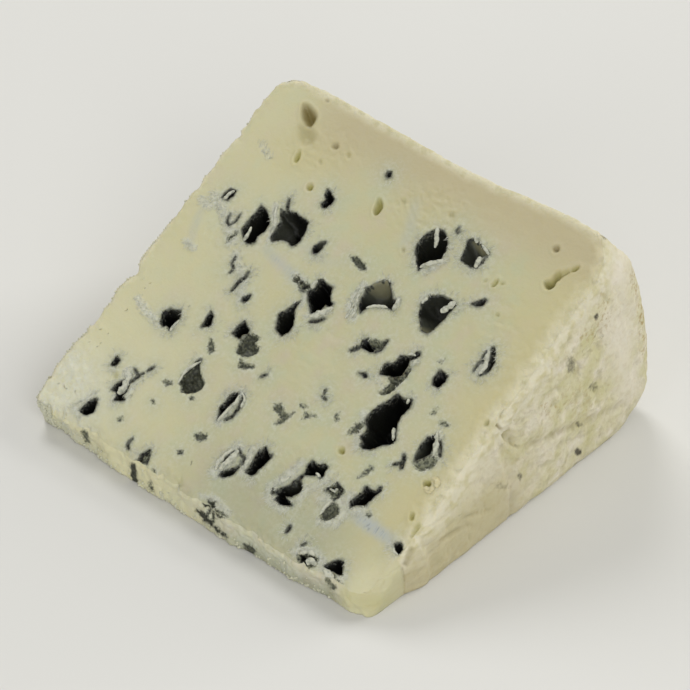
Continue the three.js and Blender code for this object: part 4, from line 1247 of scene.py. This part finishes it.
def raggedCover(paint, gap, outer, inner):
    # share covered inside an outline: the gap to it, frayed by fine noise, falls from outer to inner
    amount = 1.2
    frayed = {0: paint.grain["ragged"], 1: amount, 2: gap}
    frayed = paint.add("Math", frayed, operation="MULTIPLY_ADD")
    return paint.add("MapRange", {0: frayed, 1: outer + amount / 2, 2: inner + amount / 2})


def saltedEdge(paint, colour):
    # the cut edge of the rind: pale curd lumps, warmer between them, with a broken border
    frayed = {0: paint.grain["edgeLumps"], 1: 0.35, 2: paint.mask["edge"]}
    frayed = paint.add("Math", frayed, operation="MULTIPLY_ADD")
    share = paint.add("MapRange", {0: frayed, 1: 0.2, 2: 0.95, 4: 0.95})
    pale = layered(paint, paint.ink["edge"], [(paint.share["edgeWarm"], paint.ink["edgeWarm"])])
    return layered(paint, colour, [(share, pale)])


pasteLook = dict(
    masks=("mouldGap", "mouldGreyAndLitSide", "halo", "bloomGap", "bloomDark", "dent", "dentBrown", "needle", "fringe",
           "rimBand", "nearBand", "farLightAndCream", "noseBand", "edge"),
    grains=dict(  # size in mm, octaves, roughness
        broad=(30, 2, 0.5), patches=(8, 3, 0.5), blotches=(5, 3, 0.5), fine=(1.1, 3, 0.5),
        downy=(0.9, 4, 0.7), ragged=(0.55, 3, 0.5), grit=(0.5, 4, 0.5), edgeLumps=(2.4, 3, 0.5),
    ),
    shares=dict(  # the noise that it comes from, where it starts and ends, and its most
        butter=("broad", 0.4, 0.62, 0.8), chalk=("patches", 0.45, 0.75, 0.5),
        rosy=("blotches", 0.52, 0.68, 0.55), green=("blotches", 0.48, 0.34, 0.6),
        downy=("downy", 0.46, 0.62, 0.7), fleck=("ragged", 0.4, 0.6, 1.0),
        edgeWarm=("edgeLumps", 0.46, 0.62, 1.0),
    ),
    colours=dict(
        cream="#B9B591", butter="#BBB58B", chalk="#BBBA9E", rosy="#BCB099", green="#B4B796",
        rimBeige="#B6AC8A", nearGold="#BDB58B", farLightCream="#CAC6A3", noseGrey="#888B76",
        haloTint="#A9AC94", blueTint="#AAAFAC", edge="#CFC9AC", edgeWarm="#C2BC99", fringe="#CCCDC0",
        # in the cavities the black is mould and painted shade; the grey and olive are mould painted lighter
        # on the lit walls
        blackMouldAndShade="#080806", greyMouldAndLitWall="#55574A", oliveMouldAndLitWall="#8B8768", stain="#74766A",
        bloomPale="#8C8E76", bloomDeep="#15170F", dentOlive="#A09A50", dentBrown="#6E5A34",
    ),
    shader={
        "Roughness": 0.5, "Specular IOR Level": 0.25, "IOR": 1.45, "Subsurface Weight": 0.3,
        "Subsurface Radius": (1.0, 0.8, 0.45), "Subsurface Scale": 1.4 * mm,
    },
)


def creamyPaste(look):
    # blue cheese paste, pressed curd cut with a knife: matte, slightly moist and a little translucent
    paint = newMaterial("creamyPaste", look)
    add, mask, grain, share, ink = paint.add, paint.mask, paint.grain, paint.share, paint.ink

    # the curd's own tints, the bands of the cut face (the far one partly painted light), and the greyed
    # paste round the mould
    colour = layered(paint, ink["cream"], [
        (share["butter"], ink["butter"]),
        (share["chalk"], ink["chalk"]),
        (share["rosy"], ink["rosy"]),
        (share["green"], ink["green"]),
        # painted light and cream: the far side paler
        (mask["farLightAndCream"], ink["farLightCream"]),
        (mask["noseBand"], ink["noseGrey"]),
        (mask["nearBand"], ink["nearGold"]),
        (mask["rimBand"], ink["rimBeige"]),
        (mask["halo"], ink["haloTint"]),
        (add("Math", {0: share["downy"], 1: mask["halo"]}, operation="MULTIPLY"), ink["fringe"]),
    ])

    # bluish needle tracks, combed and finely scratched across
    combed = add("Mapping", {"Vector": paint.place, "Rotation": (0, 0, 0.5), "Scale": (1, 5, 1)})
    scratch = add("TexNoise", {"Vector": combed, "Scale": grainScale(1.7), "Detail": 4})
    blued = add("Math", {0: mask["needle"], 1: scratch}, operation="MULTIPLY")
    blued = add("Math", {0: blued, 1: 1.9}, operation="MULTIPLY", use_clamp=True)
    scored = add("MapRange", {0: scratch, 1: 0.56, 2: 0.64})
    strongly = add("MapRange", {0: mask["needle"], 1: 0.4, 2: 0.8, 4: 0.5})
    scored = add("Math", {0: scored, 1: strongly}, operation="MULTIPLY")
    colour = layered(paint, colour, [(blued, ink["blueTint"]), (scored, ink["stain"])])

    # white furred curd, the pale edge, and the dips
    whiter = add("MapRange", {0: grain["fine"], 1: 0.36, 2: 0.56, 3: 0.45})
    furred = add("Math", {0: mask["fringe"], 1: whiter}, operation="MULTIPLY")
    colour = saltedEdge(paint, layered(paint, colour, [(furred, ink["fringe"])]))
    dipColour = layered(paint, ink["dentOlive"], [(mask["dentBrown"], ink["dentBrown"])])

    # the mould: a flecked stain at each mouth, grey-green beds, and dark hollows whose black is mould and
    # painted shade, with walls painted greyer on the lit side
    stained = add("MapRange", {0: mask["mouldGap"], 1: 0.9, 2: 0.05, 4: 1.1})
    stained = add("Math", {0: stained, 1: share["fleck"]}, operation="MULTIPLY")
    bed = layered(paint, ink["greyMouldAndLitWall"], [
        (share["fleck"], ink["bloomPale"]),
        (mask["bloomDark"], ink["bloomDeep"]),
    ])
    hollow = layered(paint, ink["blackMouldAndShade"], [
        # painted light: grey, then olive, on the walls that face the light
        (mask["mouldGreyAndLitSide"], ink["greyMouldAndLitWall"]),
        (add("MapRange", {0: mask["mouldGreyAndLitSide"], 1: 0.62, 2: 1.0}), ink["oliveMouldAndLitWall"]),
    ])
    colour = layered(paint, colour, [
        (mask["dent"], dipColour),
        (stained, ink["stain"]),
        (raggedCover(paint, mask["bloomGap"], 0.42, -0.2), bed),
        (raggedCover(paint, mask["mouldGap"], 0.4, -0.1), hollow),
    ])

    height = add("Math", {0: grain["grit"], 1: grain["fine"]}, operation="ADD")
    rough = add("Math", {0: mask["edge"], 1: mask["fringe"]}, operation="MAXIMUM")
    rough = add("MapRange", {0: rough, 3: 0.22, 4: 0.9})
    bump = add("Bump", {"Height": height, "Strength": rough, "Distance": 0.3 * mm})
    return finished(paint, look["shader"], colour, bump)


rindLook = dict(
    masks=("edge", "rindSpot", "rindTan", "rindBone", "rindLow", "rindSmearAndCreaseShade", "rindPlain"),
    grains=dict(
        broad=(14, 3, 0.5), patches=(5, 3, 0.5), mottle=(2.4, 4, 0.5), specks=(1.0, 3, 0.5),
        pits=(0.9, 4, 0.5), edgeLumps=(2.4, 3, 0.5),
    ),
    shares=dict(
        bone=("broad", 0.42, 0.66, 0.75), yellow=("patches", 0.5, 0.68, 0.8),
        milky=("patches", 0.48, 0.34, 0.8), shade=("mottle", 0.52, 0.72, 0.7),
        speck=("specks", 0.5, 0.66, 0.85), edgeWarm=("edgeLumps", 0.46, 0.62, 1.0),
    ),
    colours=dict(
        straw="#CBC5A1", yellow="#C1BC8E", bone="#DAD3C1", shade="#ADA685", tan="#A08650", low="#B8AF8C",
        # the crease colour is painted shade in the rind's creases and chip, and also its gold smear
        plain="#CEC4A2", edge="#D3CDB4", edgeWarm="#C6BF9A", spot="#34302A", smearAndCreaseShade="#8A7E58",
    ),
    shader={
        "Roughness": 0.65, "Specular IOR Level": 0.25, "IOR": 1.45, "Subsurface Weight": 0.2,
        "Subsurface Radius": (1.0, 0.8, 0.5), "Subsurface Scale": 1.0 * mm,
    },
)


def naturalRind(look):
    # natural rind, salted and scraped: milky and soft, bone and straw patches, tan flecks, mould specks,
    # painted shade in its creases
    paint = newMaterial("naturalRind", look)
    add, mask, grain, share, ink = paint.add, paint.mask, paint.grain, paint.share, paint.ink
    worn = add("Math", {0: mask["rindBone"], 1: mask["rindLow"]}, operation="MAXIMUM")
    broken = add("MapRange", {0: worn, 1: 0.1, 2: 0.8, 3: 1.0, 4: 0.25})
    colour = layered(paint, ink["straw"], [
        (share["bone"], ink["bone"]),
        (share["yellow"], ink["yellow"]),
        (add("Math", {0: share["milky"], 1: broken}, operation="MULTIPLY"), ink["bone"]),
        (add("Math", {0: share["shade"], 1: broken}, operation="MULTIPLY"), ink["shade"]),
        (mask["rindPlain"], ink["plain"]),
        (mask["rindLow"], ink["low"]),
        (mask["rindBone"], ink["bone"]),
        (add("Math", {0: mask["rindTan"], 1: share["speck"]}, operation="MULTIPLY"), ink["tan"]),
    ])
    fraying = {0: grain["specks"], 1: 0.9, 2: mask["rindSpot"]}
    fraying = add("Math", fraying, operation="MULTIPLY_ADD")
    spotted = add("MapRange", {0: fraying, 1: 0.66, 2: 1.25, 4: 0.9})
    colour = saltedEdge(paint, colour)
    # painted shade along the creases and the chip, the gold smear, then mould specks
    colour = layered(paint, colour, [(mask["rindSmearAndCreaseShade"], ink["smearAndCreaseShade"]), (spotted, ink["spot"])])
    height = add("Math", {0: grain["pits"], 1: grain["mottle"]}, operation="ADD")
    bumpy = add("Math", {0: broken, 1: 0.45}, operation="MULTIPLY")
    bump = add("Bump", {"Height": height, "Strength": bumpy, "Distance": 0.7 * mm})
    return finished(paint, look["shader"], colour, bump)


wedge.data.materials.append(creamyPaste(pasteLook))
wedge.data.materials.append(naturalRind(rindLook))
print("wedge finished")

# curled lips, flaps and ribs of white curd at the cavities
lips = dict(  # path in frame pixels; the rest in mm. lift: above the face, 0.1 unless given
    twinFinger=dict(path=[(244, 241), (248, 235), (252, 227)], wide=0.75, high=0.35),
    twinRib=dict(path=[(277, 204), (275, 213), (276, 222), (272, 233)], wide=0.9, high=0.3),
    topRib=dict(path=[(224, 200), (229, 195), (235, 191)], wide=0.7, high=0.3),
    wellFinger=dict(path=[(438, 228), (437, 238), (435, 248)], wide=1.2, high=0.45, lift=0.0, taper=0.6),
    wellLip=dict(path=[(420, 268), (428, 265), (437, 263), (444, 260)], wide=1.0, high=0.4, lift=0.2),
    ledgeTop=dict(path=[(474, 237), (476, 240), (478, 243)], wide=0.8, high=0.35),
    ledgeBlock=dict(path=[(481, 257), (478, 262), (475, 268)], wide=1.0, high=0.5, lift=0.0),
    ledgeRight=dict(path=[(482, 245), (486, 250), (489, 255)], wide=0.5, high=0.3),
    starFlap=dict(path=[(309, 317), (317, 316), (325, 312), (334, 308)], wide=1.3, high=0.5, lift=0.15),
    starBlock=dict(path=[(311, 288), (314, 284), (318, 281)], wide=1.1, high=0.5),
    beanFlap=dict(path=[(400, 297), (398, 304), (393, 311)], wide=0.8, high=0.4, lift=0.2),
    beanLip=dict(path=[(366, 308), (376, 306), (388, 308)], wide=0.5, high=0.3),
    beanRib=dict(path=[(363, 289), (358, 298), (356, 308), (352, 318)], wide=0.6, high=0.35),
    beanRibMiddle=dict(path=[(366, 285), (357, 292), (352, 301), (349, 312)], wide=0.5, high=0.3,
        lift=0.05),
    beanRibOuter=dict(path=[(356, 301), (351, 310), (345, 319)], wide=0.4, high=0.25, lift=0.05),
    kiteFlap=dict(path=[(441, 313), (447, 308), (456, 302)], wide=1.2, high=0.45),
    kiteBlock=dict(path=[(422, 304), (424, 301), (428, 298)], wide=0.7, high=0.4),
    cleftFlap=dict(path=[(394, 428), (394, 434), (393, 441)], wide=0.7, high=0.4),
    cleftSpeck=dict(path=[(407, 404), (408, 401), (409, 399)], wide=0.5, high=0.3, lift=0.0),
    tailBlock=dict(path=[(411, 366), (415, 363), (421, 361)], wide=0.7, high=0.4),
    tailRib=dict(path=[(408, 355), (412, 354), (416, 356)], wide=0.5, high=0.3),
    hollowFlap=dict(path=[(438, 432), (437, 443), (434, 456)], wide=1.0, high=0.45, lift=0.2),
    ribInner=dict(path=[(490, 352), (488, 360), (484, 368)], wide=0.8, high=0.4, lift=0.2),
    ribLower=dict(path=[(488, 366), (484, 371), (479, 375)], wide=0.6, high=0.35, lift=0.2),
    ribbon=dict(path=[(240, 395), (236, 403), (229, 410), (221, 418), (218, 422)], wide=0.8, high=0.4,
        lift=0.2),
    ribbonEdge=dict(path=[(243, 392), (245, 400), (241, 408)], wide=0.5, high=0.3),
    tongue=dict(path=[(127, 369), (128, 378), (124, 387), (119, 395)], wide=1.5, high=0.5),
    leftRib=dict(path=[(96, 395), (90, 398), (83, 402), (74, 406)], wide=0.7, high=0.35),
    lensRib=dict(path=[(239, 450), (233, 457), (227, 464), (220, 471)], wide=1.0, high=0.45, lift=0.15),
    lensRibOuter=dict(path=[(235, 449), (226, 454), (219, 462), (215, 471)], wide=0.7, high=0.35),
    slantRib=dict(path=[(253, 452), (250, 460), (245, 468)], wide=0.9, high=0.4),
    blotFleck=dict(path=[(316, 473), (318, 475), (320, 477)], wide=0.5, high=0.35, lift=0.0),
    blotCurl=dict(path=[(276, 488), (282, 482), (292, 477)], wide=0.6, high=0.3, lift=0.2),
    ringCurl=dict(path=[(330, 489), (335, 492), (338, 489)], wide=0.7, high=0.35),
    ovalCurl=dict(path=[(320, 515), (326, 507), (333, 501)], wide=0.6, high=0.3, lift=0.2),
    goldCurl=dict(path=[(432, 478), (437, 481), (437, 488)], wide=1.1, high=0.55, lift=0.15, creamy=1),
    goldCurlLow=dict(path=[(424, 489), (430, 491), (435, 488)], wide=0.9, high=0.5, lift=0.15, creamy=1),
    clusterCurl=dict(path=[(300, 553), (308, 552), (316, 556)], wide=0.7, high=0.4),
    clusterBody=dict(path=[(306, 562), (311, 561), (316, 566)], wide=1.1, high=0.5),
    frontCurl=dict(path=[(323, 570), (328, 575), (334, 578)], wide=1.0, high=0.5),
    dotCurl=dict(path=[(393, 546), (394, 553), (398, 557)], wide=0.5, high=0.35),
    tearRim=dict(path=[(178, 384), (183, 374), (195, 365), (202, 361)], wide=0.5, high=0.25),
    farLip=dict(path=[(170, 331), (174, 327), (180, 320)], wide=0.5, high=0.3),
)
lipGrid = dict(stations=44, sides=12, fray=0.9)


def curdLip(entry, seed):
    # a lens section carried along a path on the cut face:
    # place = path + sideways * w(s) cos a + lift + h(s) sin a, closed to a point at both ends
    path = evenly(seenOnFace(entry["path"]), 60)
    for _ in range(8):
        path[1:-1] = 0.25 * path[:-2] + 0.5 * path[1:-1] + 0.25 * path[2:]
    path = evenly(path, lipGrid["stations"])
    along = np.gradient(path, axis=0)
    along /= np.linalg.norm(along, axis=1)[:, None]
    share = np.linspace(0, 1, len(path))[:, None]
    swell = (1 - np.abs(2 * share - 1) ** 3.5) ** 0.5 * (1 - (1 - entry.get("taper", 1.0)) * share)
    turn = np.linspace(0, 2 * math.pi, lipGrid["sides"], endpoint=False)
    section = np.stack(np.broadcast_arrays(path[:, :1], path[:, 1:], 3 * np.cos(turn)), -1)
    fray = 1 + lipGrid["fray"] * (clouds(section, 0.8, seed, 3) + 0.7 * clouds(section, 2.2, seed + 3))
    sideways = 0.5 * entry["wide"] * swell * np.cos(turn) * fray
    lift = entry.get("lift", 0.1) + entry["high"] * swell * np.sin(turn) * fray
    return onFace(path[:, :1] + along[:, 1:] * sideways, path[:, 1:] - along[:, :1] * sideways, lift)


def tubeFaces(stations, sides):
    # a closed section carried along: quads between its rings, and the triangles that draw its first and
    # last ring to two end points, which come after the rings
    index = np.arange(stations * sides).reshape(stations, sides)
    beside = np.roll(index, -1, 1)
    quads = np.stack([index[:-1], index[1:], beside[1:], beside[:-1]], -1).reshape(-1, 4)
    first, last = np.full(sides, index.size), np.full(sides, index.size + 1)
    caps = [np.stack([first, index[0], beside[0]], 1), np.stack([last, beside[-1], index[-1]], 1)]
    return quads, np.concatenate(caps)


def repeatedFaces(stations, sides, number):
    # the faces of one tube in triangles, moved on for every tube by its share of the points
    quads, caps = tubeFaces(stations, sides)
    faces = np.concatenate([quads[:, [0, 1, 2]], quads[:, [0, 2, 3]], caps])
    return (faces + (stations * sides + 2) * np.arange(number)[:, None, None]).reshape(-1, 3).tolist()


print("adding", len(lips), "lips, the crumbs and the fur")
lipPoints, lipFaces, creamyFaces = [], [], []
for number, entry in enumerate(lips.values()):
    tube = press(curdLip(entry, 200 + number))
    start = sum(len(p) for p in lipPoints)
    lipPoints.append(np.vstack([tube[1:-1].reshape(-1, 3), tube[[0, -1]].mean(1)]))
    for faces in tubeFaces(len(tube) - 2, tube.shape[1]):
        lipFaces += (faces + start).tolist()
    creamyFaces += [entry.get("creamy", 0)] * (len(lipFaces) - len(creamyFaces))
pasteLips = makeMesh("paste_lips", np.vstack(lipPoints), lipFaces)
pasteLips.data.polygons.foreach_set("material_index", creamyFaces)
pasteLips.data.shade_smooth()

crumbs = dict(  # sizes in mm
    furred=dict(count=900, size=(0.05, 0.16)),  # on the fringes
    nose=dict(count=300, size=(0.1, 0.34)),  # along the broken tip
    far=dict(count=380, size=(0.08, 0.28)),  # on the far cut edge
    corner=dict(count=160, size=(0.15, 0.5)),  # at its ragged far corner
    rings=5,
    sides=7,
)


def crumbPoints(centres, sizes, seed):
    # lumpy balls: centre + size * (1 + noise) * unit sphere, ring by ring with a point at each pole
    tilt = np.linspace(0, math.pi, crumbs["rings"] + 2)[1:-1, None]
    turn = np.linspace(0, 2 * math.pi, crumbs["sides"], endpoint=False)
    ball = np.stack([np.sin(tilt) * np.cos(turn), np.sin(tilt) * np.sin(turn), np.cos(tilt) + 0 * turn], -1)
    ball = np.vstack([ball.reshape(-1, 3), (0, 0, 1), (0, 0, -1)])
    stretch = 1 + 0.5 * clouds(ball * 1.3 + centres[:, None] * 3.1, 1.0, seed, 2)
    return (centres[:, None] + sizes[:, None, None] * stretch[..., None] * ball).reshape(-1, 3)


chance = np.random.default_rng(5)


def scatter(places, weight, entry):
    # picks places with the given weights and a size for each
    places, weight = places.reshape(-1, 3), weight.ravel()
    picked = chance.choice(len(places), entry["count"], replace=False, p=weight / weight.sum())
    return places[picked], chance.uniform(*entry["size"], entry["count"])


openFace = (mouldGap > 0.2) & (fringe > 0.35)
noseWeight = noseColumn * np.exp(-above / 0.8) * (noseGap > 0.3) * smooth(-38, -28, wallY)
cornerWeight = noseColumn * (np.abs(wallY - half) < 4)
farWeight = farColumn * np.exp(-below / 0.5) * (0.3 + smooth(60, 20, baseOut))
centres, sizes = zip(
    scatter(top, openFace * fringe, crumbs["furred"]),
    scatter(wall, noseWeight, crumbs["nose"]),
    scatter(wall, cornerWeight, crumbs["corner"]),
    scatter(wall, farWeight, crumbs["far"]),
)
centres, sizes = np.vstack(centres), np.concatenate(sizes)
centres[:, 2] = np.maximum(centres[:, 2], sizes * 1.6)
crumbTriangles = repeatedFaces(crumbs["rings"], crumbs["sides"], len(centres))
pasteCrumbs = makeMesh("paste_crumbs", crumbPoints(centres, sizes, 91), crumbTriangles)
pasteCrumbs.data.shade_smooth()

fur = dict(  # white down on the paste round the cavities; finer hairs would not show, so these are coarse
    count=4600,
    length=(0.35, 1.15),
    width=(0.09, 0.17),
    stand=(0.03, 0.2),  # how far a tip stands off the paste
    stations=4,
    sides=3,
    drag=(-8, 9),  # frame direction in which the knife combed part of it
)
awayFrom = slopeOf(mouldGap, flat)[0].reshape(-1, 2)
nearMould = np.exp(-((outside - 0.45) / 0.8) ** 2) * smooth(-0.1, 0.5, clouds(spots, 3.4, 46, 2))
furWeight = (nearMould + 1.1 * fringe) * (mouldGap > 0.3) * (edgeGap > 1.2)
furWeight = (furWeight * (dentTint < 0.1) * (bloomGap > 0.1)).ravel()


def furHairs(entry):
    # tapered slivers: place = root + s * length * direction + s^2 * bend * sideways,
    # lift = root + s * stand, radius = width / 2 * (1 - s)^0.7
    count = entry["count"]
    picked = chance.choice(furWeight.size, count, replace=False, p=furWeight / furWeight.sum())
    root = shaped.reshape(-1, 2)[picked] + chance.uniform(-0.18, 0.18, (count, 2))
    ground = raised.ravel()[picked]
    dragged = np.diff(seenOnFace([(345, 345), np.add((345, 345), entry["drag"])]), axis=0)[0]
    combed = chance.random(count) < 0.25
    ahead = np.where(combed[:, None], dragged, awayFrom[picked])
    heading = np.arctan2(ahead[:, 1], ahead[:, 0]) + chance.normal(0, 0.5, count)
    direction = np.stack([np.cos(heading), np.sin(heading)], 1)
    sideways = np.stack([-direction[:, 1], direction[:, 0]], 1)
    length, width = chance.uniform(*entry["length"], count), chance.uniform(*entry["width"], count)
    stand, bend = chance.uniform(*entry["stand"], count), chance.normal(0, 0.14, count)
    s = np.linspace(0, 1, entry["stations"] + 1)[:-1]
    turn = np.linspace(0, 2 * math.pi, entry["sides"], endpoint=False)
    middle = root[:, None] + (s * length[:, None])[..., None] * direction[:, None]
    middle = middle + (s**2 * bend[:, None])[..., None] * sideways[:, None]
    lift = ground[:, None] + s * stand[:, None]
    radius = 0.5 * width[:, None] * (1 - s) ** 0.7
    place = middle[:, :, None] + (radius[..., None] * np.cos(turn))[..., None] * sideways[:, None, None]
    rise = lift[..., None] + radius[..., None] * np.sin(turn)
    rings = onFace(place[..., 0], place[..., 1], rise).reshape(count, -1, 3)
    feet = onFace(root[:, 0], root[:, 1], ground)
    tip = root + length[:, None] * direction + bend[:, None] * sideways
    tips = onFace(tip[:, 0], tip[:, 1], ground + stand)
    return np.concatenate([rings, feet[:, None], tips[:, None]], 1).reshape(-1, 3)


furTriangles = repeatedFaces(fur["stations"], fur["sides"], fur["count"])
mouldFur = makeMesh("mould_fur", press(furHairs(fur)), furTriangles)
print("fur has", fur["count"], "hairs")

curdLook = dict(
    masks=(),
    grains=dict(fur=(0.8, 4, 0.5)),
    shares=dict(grey=("fur", 0.46, 0.66, 0.85)),
    shader={
        "Roughness": 0.6, "Specular IOR Level": 0.25, "Subsurface Weight": 0.2,
        "Subsurface Radius": (1.0, 0.9, 0.6), "Subsurface Scale": 0.6 * mm,
    },
)


def furredCurd(pale, grey):
    # curd furred over with white mould: chalky, with greyer hollows
    paint = newMaterial("furredCurd", dict(curdLook, colours=dict(pale=pale, grey=grey)))
    colour = layered(paint, paint.ink["pale"], [(paint.share["grey"], paint.ink["grey"])])
    bump = {"Height": paint.grain["fur"], "Strength": 0.6, "Distance": 0.25 * mm}
    return finished(paint, curdLook["shader"], colour, paint.add("Bump", bump))


pasteLips.data.materials.append(furredCurd("#BEBEAD", "#8F9284"))
pasteLips.data.materials.append(furredCurd("#C9C19C", "#B9AF84"))  # the creamy ones
pasteCrumbs.data.materials.append(furredCurd("#C2C1AA", "#B3B39C"))
mouldFur.data.materials.append(furredCurd("#C6C6B6", "#A4A797"))

studio = dict(
    floorSize=6.0,
    floorColour="#D2D1CC",
    sky=0.40,
    skyColour="#F6F6F4",
    lights=dict(  # at and size in metres, power in watts
        key=dict(at=(-0.75, -1.05, 0.95), size=1.1, power=10.5),
        fill=dict(at=(1.35, -0.5, 0.8), size=0.8, power=11.0),
        back=dict(at=(0.6, 1.0, 1.25), size=0.8, power=12.0),
        low=dict(at=(-1.3, -0.1, 0.4), size=0.8, power=4.5),  # onto the nose
    ),
)


def mattePaper(colour):
    # matte paper, which shows the eye only its tone
    material = bpy.data.materials.new("mattePaper")
    material.use_nodes = True
    tree = material.node_tree
    tree.nodes.clear()
    paper = addNode(tree, "BsdfPrincipled", {"Base Color": linear(colour), "Roughness": 0.9})
    addNode(tree, "OutputMaterial", {"Surface": paper})
    return material


def makeLight(name, entry):
    data = bpy.data.lights.new(name, "AREA")
    data.shape, data.size, data.energy = "DISK", entry["size"], entry["power"]
    light = bpy.data.objects.new(name, data)
    bpy.context.scene.collection.objects.link(light)
    place = np.array(entry["at"])
    away = place / np.linalg.norm(place)
    side = np.cross((0, 0, 1), away)
    side /= np.linalg.norm(side)
    light.matrix_world = axesAt(side, np.cross(away, side), away, place)


reach = studio["floorSize"] / 2 / mm
floorCorners = np.array([(-reach, -reach, 0), (reach, -reach, 0), (reach, reach, 0), (-reach, reach, 0)])
floor = makeMesh("studioFloor", floorCorners, [(0, 1, 2, 3)])
floor.data.materials.append(mattePaper(studio["floorColour"]))
for name, entry in studio["lights"].items():
    makeLight(name, entry)
world = bpy.data.worlds.new("studioSky")
world.use_nodes = True
sky = world.node_tree.nodes["Background"].inputs
sky[0].default_value = linear(studio["skyColour"])
sky[1].default_value = studio["sky"]
bpy.context.scene.world = world
bpy.context.scene.view_settings.view_transform = "Standard"
print("studio ready")

for piece in (wedge, pasteLips, pasteCrumbs, mouldFur):
    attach(piece, "root")
    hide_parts("cheese_wedge")
